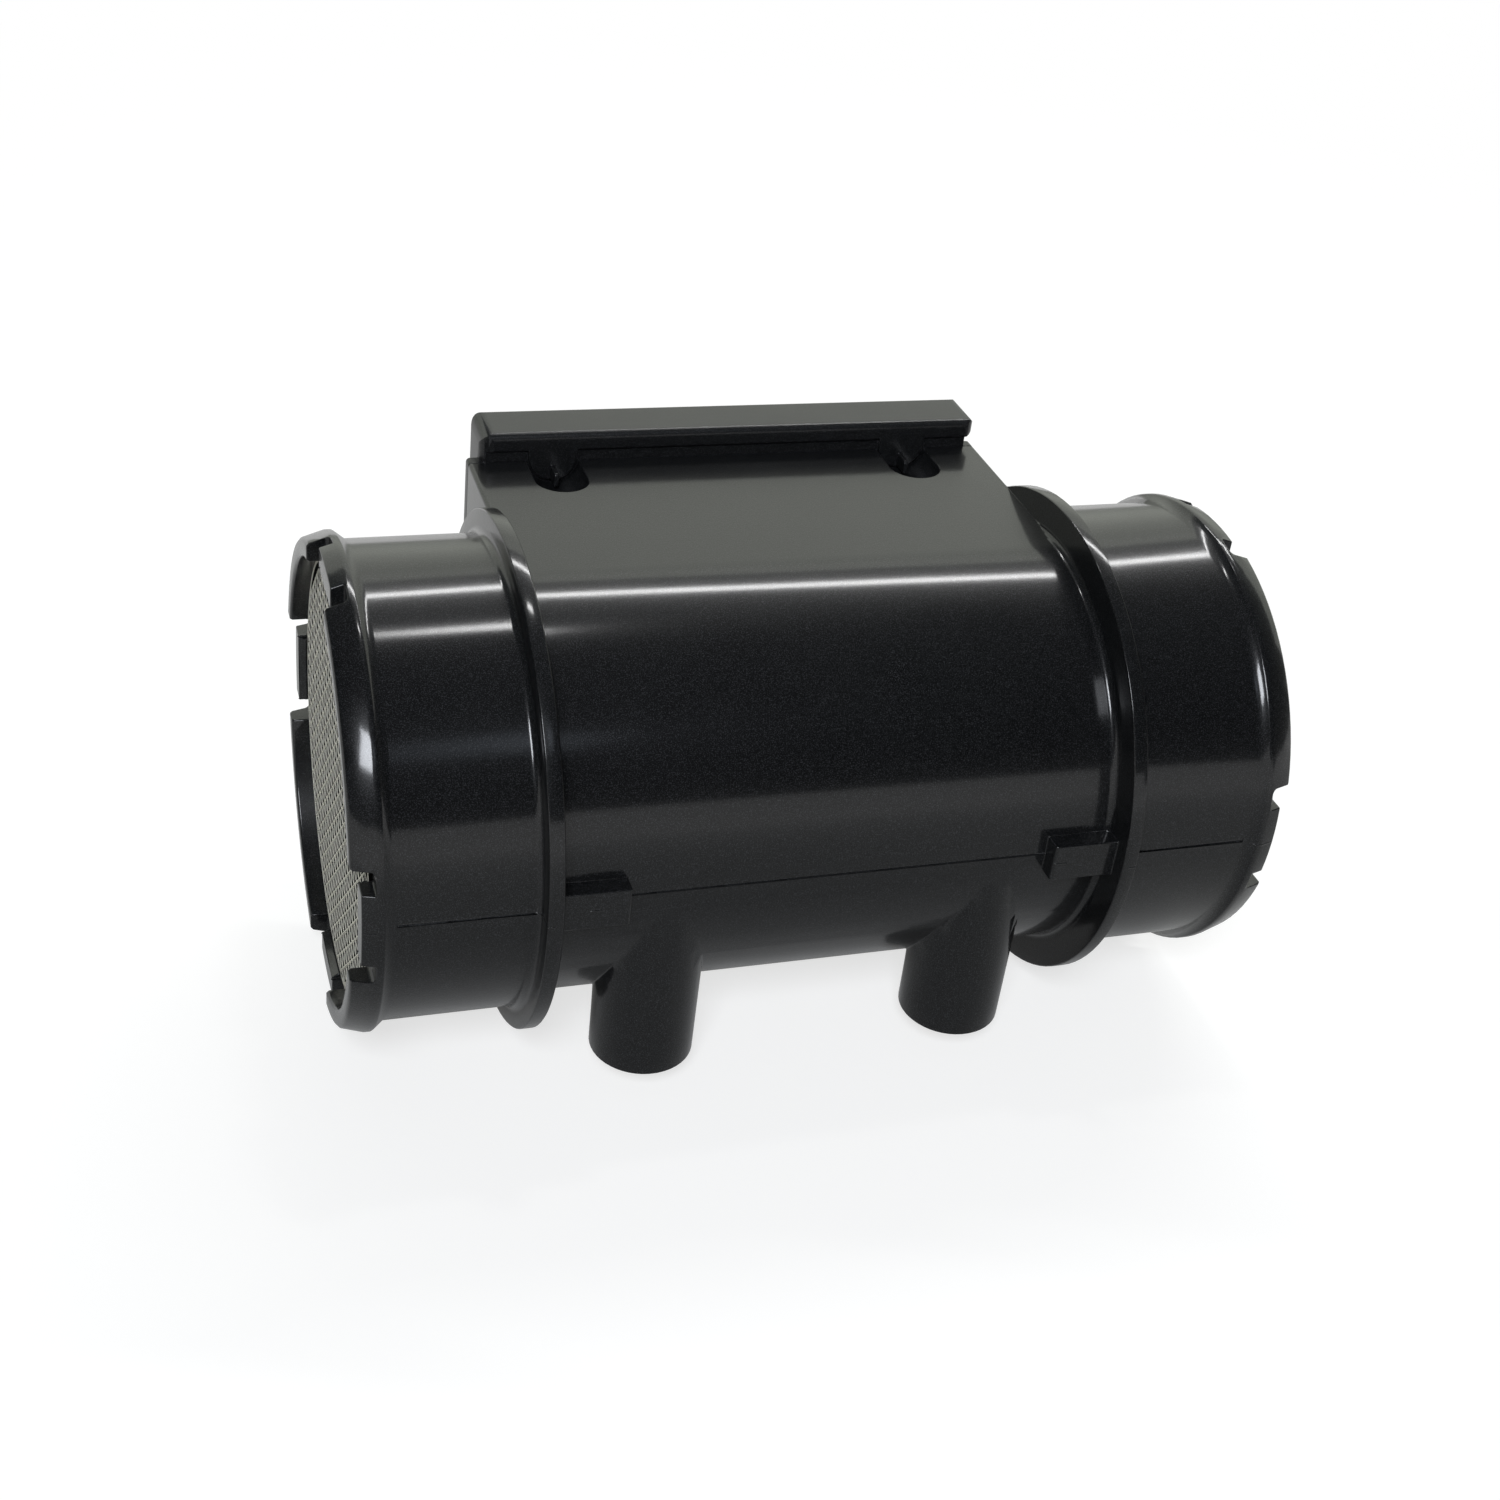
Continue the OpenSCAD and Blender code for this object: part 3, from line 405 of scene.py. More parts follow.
# Finishes without a special feature: the shader's values, the shade of the darker patches, the size of
# the patches in mm, the roughness from and to, the pattern's stretch, and the grain's size and depth in mm
FINISHES = {
    # Stainless wire, drawn: bright grey with fine, slightly uneven lines
    "drawn_screen_wire": {
        "shader": {"Roughness": 0.3, "Metallic": 1.0}, "shade": 0.75, "patch": 0.8, "gloss": (0.22, 0.4),
    },
    # Aluminium sheet, rolled and blanked: pale, with long rolling lines
    "rolled_aluminium_plate": {
        "shader": {"Roughness": 0.4, "Metallic": 1.0}, "shade": 0.85, "patch": 1.5, "gloss": (0.32, 0.5),
        "stretch": (0.05, 1, 1), "grain": (0.8, 0.002),
    },
    # Zinc-plated steel, cold formed: grey with a soft, slightly uneven shine
    "zinc_plated_steel": {
        "shader": {"Roughness": 0.35, "Metallic": 1.0}, "shade": 0.8, "patch": 1.0, "gloss": (0.28, 0.45),
    },
    # Brass, turned or stamped: yellow metal with fine tool lines round it
    "turned_and_stamped_brass": {
        "shader": {"Roughness": 0.28, "Metallic": 1.0}, "shade": 0.75, "patch": 1.0, "gloss": (0.2, 0.38),
        "stretch": (1, 1, 4),
    },
    # Silicone rubber, moulded: dark and matt with a dusty bloom
    "moulded_silicone": {
        "shader": {"Roughness": 0.65, "IOR": 1.42}, "shade": 0.7, "patch": 2.5, "gloss": (0.55, 0.75),
        "grain": (0.5, 0.01),
    },
    # Glass-epoxy board under green lacquer: glossy, with the glass cloth's weave faintly showing
    "lacquered_glass_epoxy": {
        "shader": {"Roughness": 0.25, "IOR": 1.5}, "shade": 0.75, "patch": 0.9, "gloss": (0.2, 0.35),
        "grain": (0.9, 0.01),
    },
    # Filled epoxy, moulded on a spark-eroded tool: dark grey and evenly matt
    "moulded_epoxy": {
        "shader": {"Roughness": 0.55, "IOR": 1.5}, "shade": 0.8, "patch": 1.5, "gloss": (0.5, 0.62),
        "grain": (0.3, 0.01),
    },
    # Alumina ceramic, pressed and fired: off-white and chalky with a fine speckle
    "fired_alumina": {
        "shader": {"Roughness": 0.5, "IOR": 1.7}, "shade": 0.88, "patch": 0.4, "gloss": (0.42, 0.6),
    },
}


def plain_finish(name, colour):
    """A material made as its row in FINISHES says."""
    finish = FINISHES[name]
    stretch = finish.get("stretch", (1, 1, 1))
    material, tree, shader = new_material(name, finish["shader"])
    patches = add_patches(tree, shader, colour, finish["shade"], finish["patch"] * MM, stretch)
    add_gloss(tree, shader, patches, *finish["gloss"])
    if "grain" in finish:
        size, depth = finish["grain"]
        add_grain(tree, shader, "Normal", size * MM, depth * MM, stretch)
    return material


def copy_of_node(node, name):
    """The CAD node's mesh as a piece of its own: doubles merged and flat areas made whole faces."""
    source = NODES[node]
    mesh = bpy.data.meshes.new(name)
    work = bmesh.new()
    work.from_mesh(source.data)
    bmesh.ops.remove_doubles(work, verts=work.verts, dist=SAME_POINT)
    bmesh.ops.dissolve_limit(
        work, angle_limit=FLAT_ANGLE, verts=work.verts, edges=work.edges, use_dissolve_boundaries=False,
    )
    work.to_mesh(mesh)
    work.free()
    piece = bpy.data.objects.new(name, mesh)
    bpy.context.scene.collection.objects.link(piece)
    return piece


def bake_modifiers(piece):
    """Replaces the piece's mesh by its evaluated one and takes the modifiers off."""
    bpy.context.view_layer.update()
    evaluated = piece.evaluated_get(bpy.context.evaluated_depsgraph_get())
    mesh = bpy.data.meshes.new_from_object(evaluated)
    piece.modifiers.clear()
    piece.data = mesh


def round_edges(piece, width):
    """Breaks the sharp edges as a moulding tool leaves them."""
    bevel = piece.modifiers.new("edge rounding", "BEVEL")
    bevel.width = width
    bevel.segments = 2
    bevel.limit_method = "ANGLE"
    bevel.angle_limit = math.radians(60)
    bevel.use_clamp_overlap = False
    bevel.miter_outer = "MITER_ARC"
    bake_modifiers(piece)
    # Points that the bevel leaves on top of each other would make the large faces fill wrongly
    work = bmesh.new()
    work.from_mesh(piece.data)
    bmesh.ops.remove_doubles(work, verts=work.verts, dist=SAME_ROUNDED)
    bmesh.ops.triangulate(work, faces=[face for face in work.faces if len(face.verts) > 4])
    work.to_mesh(piece.data)
    work.free()


def turned_normal(face_normal, centre, axis, point):
    """The exact normal at a point of a face that belongs to a surface turned about an axis."""
    along = face_normal.dot(axis)
    out = point - centre
    out = out - axis * out.dot(axis)
    if out.length < ON_AXIS:
        return face_normal
    across = face_normal - axis * along
    sign = 1 if across.dot(out) > 0 else -1
    return (axis * along + out.normalized() * sign * across.length).normalized()


def is_turned(face, centre, axis):
    """Whether the face is a flat strip of a surface turned about the axis."""
    along = face.normal.dot(axis)
    across = (face.normal - axis * along).length
    if across < LEAST_LEAN:
        return False
    values = []
    for vertex in face.verts:
        out = vertex.co - centre
        height = out.dot(axis)
        radius = (out - axis * height).length
        radial = (out - axis * height).normalized()
        if abs(radial.dot(face.normal)) < across * LEAST_RADIAL:
            return False
        sign = 1 if radial.dot(face.normal) > 0 else -1
        values.append(sign * radius * across + height * along)
    return max(values) - min(values) < MOST_DRIFT


def true_normals(piece, axes):
    """Gives each corner the exact normal of the turned surfaces, blended by area over soft edges."""
    mesh = piece.data
    work = bmesh.new()
    work.from_mesh(mesh)
    work.faces.ensure_lookup_table()
    turned = {}
    for face in work.faces:
        turned[face.index] = next(((c, a) for c, a in axes if is_turned(face, c, a)), None)
        face.smooth = True
    areas = [face.calc_area() for face in work.faces]
    normals = [None] * sum(len(face.verts) for face in work.faces)
    corner_at = {}
    place = 0
    for face in work.faces:
        for loop in face.loops:
            corner_at[(face.index, loop.vert.index)] = place
            place += 1
    for vertex in work.verts:
        left = list(vertex.link_faces)
        while left:
            group = [left.pop()]
            for face in group:
                for edge in face.edges:
                    if vertex not in edge.verts or len(edge.link_faces) != 2:
                        continue
                    if edge.calc_face_angle() < SOFT_EDGE:
                        for other in edge.link_faces:
                            if other in left:
                                left.remove(other)
                                group.append(other)
            total = Vector()
            for face in group:
                spin = turned[face.index]
                exact = turned_normal(face.normal, *spin, vertex.co) if spin else face.normal
                total += exact * areas[face.index]
            total.normalize()
            for face in group:
                normals[corner_at[(face.index, vertex.index)]] = total
    work.to_mesh(mesh)
    work.free()
    mesh.normals_split_custom_set([tuple(n) for n in normals])


def finish_piece(piece, material, slot, *nodes):
    """Gives the piece its finish, its body and the CAD nodes that it stands for."""
    piece.data.materials.clear()
    piece.data.materials.append(material)
    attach(piece, "root")
    if nodes:
        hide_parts(*nodes)


def paint_nodes(material, *nodes):
    """Puts a finish on CAD nodes that keep their own mesh."""
    for node in nodes:
        data = NODES[node].data
        if not data.materials:
            data.materials.append(material)
        for i in range(len(data.materials)):
            data.materials[i] = material


def new_geometry_tree(name, inputs):
    """A Geometry Nodes tree with the named inputs and one geometry output."""
    tree = bpy.data.node_groups.new(name, "GeometryNodeTree")
    tree.is_modifier = True
    tree.interface.new_socket("Geometry", in_out="OUTPUT", socket_type="NodeSocketGeometry")
    for label, kind in inputs.items():
        tree.interface.new_socket(label, in_out="INPUT", socket_type="NodeSocket" + kind)
    return tree, add_node(tree, "NodeGroupInput").outputs


def end_geometry_tree(tree, geometry, material):
    """Ends the tree: instances made real, and the material set."""
    real = add_node(tree, "GeometryNodeRealizeInstances", {}, {"Geometry": geometry})
    painted = add_node(tree, "GeometryNodeSetMaterial", {}, {"Geometry": real, "Material": material})
    add_node(tree, "NodeGroupOutput", {}, {"Geometry": painted})


def grow_piece(name, tree, values, wall=0.0):
    """Makes a plain mesh piece from a Geometry Nodes tree with the given input values."""
    piece = bpy.data.objects.new(name, bpy.data.meshes.new(name))
    bpy.context.scene.collection.objects.link(piece)
    modifier = piece.modifiers.new("form", "NODES")
    modifier.node_group = tree
    for item in tree.interface.items_tree:
        if item.in_out == "INPUT":
            modifier[item.identifier] = values[item.name]
    if wall:
        solid = piece.modifiers.new("wall", "SOLIDIFY")
        solid.thickness = wall
        solid.offset = 0
        solid.use_even_offset = True
    bake_modifiers(piece)
    return piece


def centred_line(tree, axis, count, step):
    """Points one step apart along an axis, as many on one side of the middle as on the other."""
    less = add_node(tree, "ShaderNodeMath", {"operation": "SUBTRACT", 1: 1.0}, {0: count})
    span = add_node(tree, "ShaderNodeMath", {"operation": "MULTIPLY"}, {0: less, 1: step})
    low = add_node(tree, "ShaderNodeMath", {"operation": "MULTIPLY", 1: -0.5}, {0: span})
    start = add_node(tree, "ShaderNodeCombineXYZ", {}, {axis: low})
    offset = add_node(tree, "ShaderNodeCombineXYZ", {}, {axis: step})
    return add_node(
        tree, "GeometryNodeMeshLine", {}, {"Count": count, "Start Location": start, "Offset": offset},
    ).outputs["Mesh"]


def real_copies(tree, points, piece):
    """A copy of the piece on each point, made real."""
    copies = add_node(tree, "GeometryNodeInstanceOnPoints", {}, {"Points": points, "Instance": piece})
    return add_node(
        tree, "GeometryNodeRealizeInstances", {}, {"Geometry": copies},
    ).outputs["Geometry"]


def cut_to_circle(tree, geometry, parts, radius):
    """Takes off the points that lie outside a circle about the X axis."""
    across, height, limit = (
        add_node(tree, "ShaderNodeMath", {"operation": "POWER", 1: 2.0}, {0: value})
        for value in (parts.outputs["Y"], parts.outputs["Z"], radius)
    )
    reach = add_node(tree, "ShaderNodeMath", {"operation": "ADD"}, {0: across, 1: height})
    outside = add_node(
        tree, "FunctionNodeCompare", {"data_type": "FLOAT", "operation": "GREATER_THAN"},
        {0: reach, 1: limit},
    )
    return add_node(
        tree, "GeometryNodeDeleteGeometry", {"domain": "POINT"},
        {"Geometry": geometry, "Selection": outside},
    ).outputs["Geometry"]


def foil_strip_tree():
    """Flat foil strips with a waved strip between each two, cut to a circle, tilted and put in place."""
    tree, given = new_geometry_tree("foil strips", {
        "Pitch": "Float", "Wave length": "Float", "Wave height": "Float", "Depth": "Float",
        "Radius": "Float", "Flat strips": "Int", "Waved strips": "Int", "Wave points": "Int",
        "Tilt": "Vector", "Place": "Vector", "Material": "Material",
    })
    width = add_node(tree, "ShaderNodeMath", {"operation": "MULTIPLY", 1: 2.0}, {0: given["Radius"]})
    flat = add_node(
        tree, "GeometryNodeMeshGrid", {"Vertices X": 2, "Vertices Y": 2},
        {"Size X": given["Depth"], "Size Y": width},
    )
    waved = add_node(
        tree, "GeometryNodeMeshGrid", {"Vertices X": 2},
        {"Size X": given["Depth"], "Size Y": width, "Vertices Y": given["Wave points"]},
    )
    position = add_node(tree, "GeometryNodeInputPosition")
    parts = add_node(tree, "ShaderNodeSeparateXYZ", {}, {0: position})
    turns = add_node(
        tree, "ShaderNodeMath", {"operation": "DIVIDE"}, {0: parts.outputs["Y"], 1: given["Wave length"]},
    )
    phase = add_node(tree, "ShaderNodeMath", {"operation": "MULTIPLY", 1: math.tau}, {0: turns})
    sine = add_node(tree, "ShaderNodeMath", {"operation": "SINE"}, {0: phase})
    rise = add_node(
        tree, "ShaderNodeMath", {"operation": "MULTIPLY"}, {0: sine, 1: given["Wave height"]},
    )
    lift = add_node(tree, "ShaderNodeCombineXYZ", {}, {"Z": rise})
    wave = add_node(tree, "GeometryNodeSetPosition", {}, {"Geometry": waved, "Offset": lift})
    flat_rows = centred_line(tree, "Z", given["Flat strips"], given["Pitch"])
    wave_rows = centred_line(tree, "Z", given["Waved strips"], given["Pitch"])
    flats = real_copies(tree, flat_rows, flat.outputs["Mesh"])
    waves = real_copies(tree, wave_rows, wave.outputs["Geometry"])

    # The flat strips end on the circle: half of the chord at their height
    square = add_node(tree, "ShaderNodeMath", {"operation": "POWER", 1: 2.0}, {0: given["Radius"]})
    height = add_node(tree, "ShaderNodeMath", {"operation": "POWER", 1: 2.0}, {0: parts.outputs["Z"]})
    rest = add_node(tree, "ShaderNodeMath", {"operation": "SUBTRACT"}, {0: square, 1: height})
    chord = add_node(tree, "ShaderNodeMath", {"operation": "SQRT"}, {0: rest})
    side = add_node(tree, "ShaderNodeMath", {"operation": "SIGN"}, {0: parts.outputs["Y"]})
    end = add_node(tree, "ShaderNodeMath", {"operation": "MULTIPLY"}, {0: chord, 1: side})
    on_circle = add_node(
        tree, "ShaderNodeCombineXYZ", {}, {"X": parts.outputs["X"], "Y": end, "Z": parts.outputs["Z"]},
    )
    trimmed = add_node(tree, "GeometryNodeSetPosition", {}, {"Geometry": flats, "Position": on_circle})
    both = add_node(tree, "GeometryNodeJoinGeometry")
    tree.links.new(trimmed.outputs["Geometry"], both.inputs[0])
    tree.links.new(cut_to_circle(tree, waves, parts, given["Radius"]), both.inputs[0])
    placed = add_node(
        tree, "GeometryNodeTransform", {},
        {"Geometry": both, "Translation": given["Place"], "Rotation": given["Tilt"]},
    )
    end_geometry_tree(tree, placed.outputs["Geometry"], given["Material"])
    return tree


def woven_screen_tree():
    """Wires across a circle, each going over and under the wires that cross it."""
    tree, given = new_geometry_tree("woven screen", {
        "Pitch": "Float", "Wire radius": "Float", "Radius": "Float", "Wires": "Int",
        "Points": "Int", "Point step": "Float", "Place": "Vector", "Quarter turn": "Vector",
        "Material": "Material",
    })
    rows = centred_line(tree, "Z", given["Wires"], given["Pitch"])
    wire = centred_line(tree, "Y", given["Points"], given["Point step"])
    layer = real_copies(tree, rows, wire)

    # The weave: over and under in step with both coordinates
    position = add_node(tree, "GeometryNodeInputPosition")
    parts = add_node(tree, "ShaderNodeSeparateXYZ", {}, {0: position})
    waves = []
    for axis in ("Y", "Z"):
        turns = add_node(
            tree, "ShaderNodeMath", {"operation": "DIVIDE"}, {0: parts.outputs[axis], 1: given["Pitch"]},
        )
        phase = add_node(tree, "ShaderNodeMath", {"operation": "MULTIPLY", 1: math.pi}, {0: turns})
        waves.append(add_node(tree, "ShaderNodeMath", {"operation": "COSINE"}, {0: phase}))
    weave = add_node(tree, "ShaderNodeMath", {"operation": "MULTIPLY"}, dict(enumerate(waves)))
    rise = add_node(
        tree, "ShaderNodeMath", {"operation": "MULTIPLY"}, {0: weave, 1: given["Wire radius"]},
    )
    lift = add_node(tree, "ShaderNodeCombineXYZ", {}, {"X": rise})
    woven = add_node(tree, "GeometryNodeSetPosition", {}, {"Geometry": layer, "Offset": lift})
    cut = cut_to_circle(tree, woven.outputs["Geometry"], parts, given["Radius"])
    crossing = add_node(
        tree, "GeometryNodeTransform", {"Scale": (-1, 1, 1)},
        {"Geometry": cut, "Rotation": given["Quarter turn"]},
    )
    both = add_node(tree, "GeometryNodeJoinGeometry")
    tree.links.new(cut, both.inputs[0])
    tree.links.new(crossing.outputs["Geometry"], both.inputs[0])
    paths = add_node(tree, "GeometryNodeMeshToCurve", {}, {"Mesh": both})
    section = add_node(
        tree, "GeometryNodeCurvePrimitiveCircle", {"Resolution": 8}, {"Radius": given["Wire radius"]},
    )
    tubes = add_node(
        tree, "GeometryNodeCurveToMesh", {"Fill Caps": True},
        {"Curve": paths, "Profile Curve": section},
    )
    placed = add_node(
        tree, "GeometryNodeTransform", {}, {"Geometry": tubes, "Translation": given["Place"]},
    )
    end_geometry_tree(tree, placed.outputs["Geometry"], given["Material"])
    return tree


def smooth_faces(piece, angle):
    """Smooth shading, with edges sharper than the angle kept."""
    for polygon in piece.data.polygons:
        polygon.use_smooth = True
    piece.data.set_sharp_from_angle(angle=math.radians(angle))


class AIRSENSOR_OT_body(bpy.types.Operator):
    """Makes the moulded tube body with its edges rounded"""

    bl_idname = "airsensor.body"
    bl_label = "Tube body"

    def execute(self, context):
        sizes, colours = context.scene.air_sensor_sizes, context.scene.air_sensor_colours
        piece = copy_of_node("tube_body", "moulded_tube_body")
        round_edges(piece, sizes.edge_break)
        true_normals(piece, [TUBE_AXIS, *LEG_AXES, *POCKET_AXES])
        material = moulded_plastic(
            "glossy_moulded_polyester", colours.body, sizes, gloss=0.12, skin=0.8, haze=0.33,
        )
        add_flash(material, AXIS_Z, AXIS_Y, BUSY_FLASH)
        finish_piece(piece, material, "moulded_black_plastic", "tube_body")
        return {"FINISHED"}


class AIRSENSOR_OT_cover(bpy.types.Operator):
    """Makes the module's cover with its slab, tabs and plug shroud"""

    bl_idname = "airsensor.cover"
    bl_label = "Module cover"

    def execute(self, context):
        sizes, colours = context.scene.air_sensor_sizes, context.scene.air_sensor_colours
        piece = copy_of_node("module_cover", "moulded_module_cover")
        round_edges(piece, sizes.edge_break)
        true_normals(piece, POCKET_AXES)
        material = moulded_plastic(
            "satin_moulded_cover", colours.cover, sizes, gloss=0.28, skin=0.7, haze=0.45,
        )
        finish_piece(piece, material, "cover_black_plastic", "module_cover")
        return {"FINISHED"}


class AIRSENSOR_OT_straightener(bpy.types.Operator):
    """Makes the straightener: its band, flat foil strips and waved foil strips"""

    bl_idname = "airsensor.straightener"
    bl_label = "Straightener"

    def execute(self, context):
        sizes, colours = context.scene.air_sensor_sizes, context.scene.air_sensor_colours
        low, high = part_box("inlet_flat_strips")
        foil = rolled_foil(
            "rolled_straightener_foil", colours.foil, low.x, sizes.strip_tilt, sizes.strip_pitch,
        )
        paint_nodes(foil, "inlet_straightener_band")
        radius = BAND_RADIUS - BAND_WALL
        count = int((radius - ROW_MARGIN) / sizes.strip_pitch)
        step = sizes.wave_length / WAVE_STEPS
        piece = grow_piece("straightener_foil_strips", foil_strip_tree(), {
            "Pitch": sizes.strip_pitch,
            "Wave length": sizes.wave_length,
            "Wave height": (sizes.strip_pitch - 2 * sizes.foil) / 2,
            "Depth": high.x - low.x,
            "Radius": radius,
            "Flat strips": 2 * count + 1,
            "Waved strips": 2 * count,
            "Wave points": round(2 * radius / step) + 1,
            "Tilt": (sizes.strip_tilt, 0, 0),
            "Place": ((low.x + high.x) / 2, AXIS_Y, AXIS_Z),
            "Material": foil,
        }, wall=sizes.foil)
        smooth_faces(piece, angle=40)
        finish_piece(
            piece, foil, "straightener_foil", "inlet_flat_strips", "inlet_corrugated_strips",
        )
        return {"FINISHED"}


class AIRSENSOR_OT_screen(bpy.types.Operator):
    """Makes the outlet's woven wire screen in its ring"""

    bl_idname = "airsensor.screen"
    bl_label = "Outlet screen"

    def execute(self, context):
        sizes, colours = context.scene.air_sensor_sizes, context.scene.air_sensor_colours
        wire = plain_finish("drawn_screen_wire", colours.wire)
        paint_nodes(wire, "outlet_screen_ring")
        level_low, level_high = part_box("outlet_screen_level_wires")
        upright_low, upright_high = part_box("outlet_screen_upright_wires")
        radius = (level_high.y - level_low.y) / 2
        count = int((radius - WIRE_MARGIN) / sizes.wire_pitch)
        low, high = min(level_low.x, upright_low.x), max(level_high.x, upright_high.x)
        piece = grow_piece("woven_outlet_screen", woven_screen_tree(), {
            "Pitch": sizes.wire_pitch,
            "Wire radius": sizes.wire / 2,
            "Radius": radius,
            "Wires": 2 * count + 1,
            "Points": 2 * count * WIRE_STEPS + 1,
            "Point step": sizes.wire_pitch / WIRE_STEPS,
            "Place": ((low + high) / 2, AXIS_Y, AXIS_Z),
            "Quarter turn": (math.pi / 2, 0, 0),
            "Material": wire,
        })
        smooth_faces(piece, angle=60)
        finish_piece(
            piece, wire, "screen_steel", "outlet_screen_level_wires", "outlet_screen_upright_wires",
        )
        return {"FINISHED"}


class AIRSENSOR_OT_seals(bpy.types.Operator):
    """Finishes the cover's seal and the bridge's gasket"""

    bl_idname = "airsensor.seals"
    bl_label = "Seals"

    def execute(self, context):
        colours = context.scene.air_sensor_colours
        paint_nodes(plain_finish("moulded_silicone", colours.rubber), "cover_seal", "bridge_gasket")
        return {"FINISHED"}


class AIRSENSOR_OT_electronics(bpy.types.Operator):
    """Finishes the base plate, its screws, the circuit board and the parts on it"""

    bl_idname = "airsensor.electronics"
    bl_label = "Electronics"

    def execute(self, context):
        colours = context.scene.air_sensor_colours
        for finish, colour, nodes in (
            ("rolled_aluminium_plate", colours.plate, ("base_plate",)),
            ("zinc_plated_steel", colours.screw, ("base_plate_screws",)),
            ("lacquered_glass_epoxy", colours.board, ("circuit_board",)),
            ("moulded_epoxy", colours.chip, ("control_chip", "driver_chip", "chip_resistors")),
            ("fired_alumina", colours.ceramic, ("chip_capacitors", "hot_film_plate", "air_temperature_chip")),
        ):
            paint_nodes(plain_finish(finish, colour), *nodes)
        return {"FINISHED"}


class AIRSENSOR_OT_bridge(bpy.types.Operator):
    """Finishes the sensing bridge"""

    bl_idname = "airsensor.bridge"
    bl_label = "Sensing bridge"

    def execute(self, context):
        sizes, colours = context.scene.air_sensor_sizes, context.scene.air_sensor_colours
        material = moulded_plastic(
            "satin_moulded_bridge", colours.bridge, sizes, gloss=0.3, skin=0.6, haze=0.5,
        )
        paint_nodes(material, "sensing_bridge")
        return {"FINISHED"}


class AIRSENSOR_OT_brass(bpy.types.Operator):
    """Finishes the terminals, the sensor's leads and the threaded inserts"""

    bl_idname = "airsensor.brass"
    bl_label = "Brass parts"

    def execute(self, context):
        colours = context.scene.air_sensor_colours
        brass = plain_finish("turned_and_stamped_brass", colours.brass)
        paint_nodes(brass, "connector_terminals", "sensor_leads", "leg_inserts")
        return {"FINISHED"}


def area_lamp(name, place, target, size, radiance, colour="#ffffff"):
    """A rectangular soft lamp whose face has the given brightness, aimed at the target."""
    data = bpy.data.lights.new(name, "AREA")
    data.shape = "RECTANGLE"
    data.size, data.size_y = size
    data.energy = radiance * math.pi * size[0] * size[1]
    data.color = srgb(colour)[:3]
    lamp = bpy.data.objects.new(name, data)
    lamp.location = place
    lamp.rotation_euler = (target - place).to_track_quat("-Z", "Y").to_euler()
    lamp.visible_camera = False
    bpy.context.scene.collection.objects.link(lamp)


def stage_sheet(name, corners, material):
    """A flat sheet of the studio through four corners."""
    mesh = bpy.data.meshes.new(name)
    mesh.from_pydata([tuple(c) for c in corners], [], [(0, 1, 2, 3)])
    mesh.materials.append(material)
    sheet = bpy.data.objects.new(name, mesh)
    bpy.context.scene.collection.objects.link(sheet)
    return sheet


def seen_ray(tree):
    """1 for the rays that the camera, gloss and clear pieces send, 0 for the light on matt surfaces."""
    path = add_node(tree, "ShaderNodeLightPath")
    first = add_node(
        tree, "ShaderNodeMath", {"operation": "MAXIMUM"},
        {0: path.outputs["Is Camera Ray"], 1: path.outputs["Is Glossy Ray"]},
    )
    return add_node(
        tree, "ShaderNodeMath", {"operation": "MAXIMUM"},
        {0: first, 1: path.outputs["Is Transmission Ray"]},
    ).outputs[0]


def floor_paper(name, colour):
    """Matt pale paper: it takes the object's shadow and fades to plain white further out."""
    material, tree = empty_material(name)
    paper = add_node(tree, "ShaderNodeBsdfPrincipled", {"Base Color": tuple(colour), "Roughness": 0.95})
    place = add_node(tree, "ShaderNodeTexCoord")
    reach = add_node(tree, "ShaderNodeVectorMath", {"operation": "LENGTH"}, {0: place.outputs["Object"]})
    fade = add_node(
        tree, "ShaderNodeMapRange", {"From Min": FADE_START, "From Max": FADE_END},
        {"Value": reach.outputs["Value"]},
    )
    # Near the object gloss sees less of the white than the camera does
    path = add_node(tree, "ShaderNodeLightPath")
    near = add_node(
        tree, "ShaderNodeMapRange", {"To Min": GLOSS_WHITE, "To Max": CAMERA_WHITE},
        {"Value": path.outputs["Is Camera Ray"]},
    )
    glow = add_node(
        tree, "ShaderNodeMapRange", {"From Min": FADE_START, "From Max": FADE_END, "To Max": 1.0},
        {"Value": reach.outputs["Value"], "To Min": near},
    )
    white = add_node(tree, "ShaderNodeEmission", {}, {"Strength": glow})
    black = add_node(tree, "ShaderNodeBsdfDiffuse", {"Color": (0, 0, 0, 1)})
    matt = add_node(tree, "ShaderNodeMixShader", {}, {0: fade, 1: paper, 2: black})
    seen = add_node(tree, "ShaderNodeAddShader", {}, {0: matt, 1: white})
    choice = add_node(tree, "ShaderNodeMixShader", {}, {0: seen_ray(tree), 1: paper, 2: seen})
    add_node(tree, "ShaderNodeOutputMaterial", {}, {"Surface": choice})
    return material


def softbox_cloth(name, colour, base, level, rim):
    """Lit white cloth of a softbox: dimmer towards its foot and brightest along its upper edge."""
    material, tree = empty_material(name)
    place = add_node(tree, "ShaderNodeTexCoord")
    parts = add_node(tree, "ShaderNodeSeparateXYZ", {}, {0: place.outputs["Object"]})
    foot, top = (
        add_node(
            tree, "ShaderNodeMapRange",
            {"interpolation_type": "SMOOTHSTEP", "From Min": base + start, "From Max": base + end,
             "To Min": dim, "To Max": bright},
            {"Value": parts.outputs["Z"]},
        )
        for (start, end), dim, bright in ((FOOT_FADE, level * FOOT_SHARE, level), (RIM_FADE, 0.0, rim))
    )
    total = add_node(tree, "ShaderNodeMath", {"operation": "ADD"}, {0: foot, 1: top})
    glow = add_node(tree, "ShaderNodeEmission", {"Color": srgb(colour)}, {"Strength": total})
    add_node(tree, "ShaderNodeOutputMaterial", {}, {"Surface": glow})
    return material


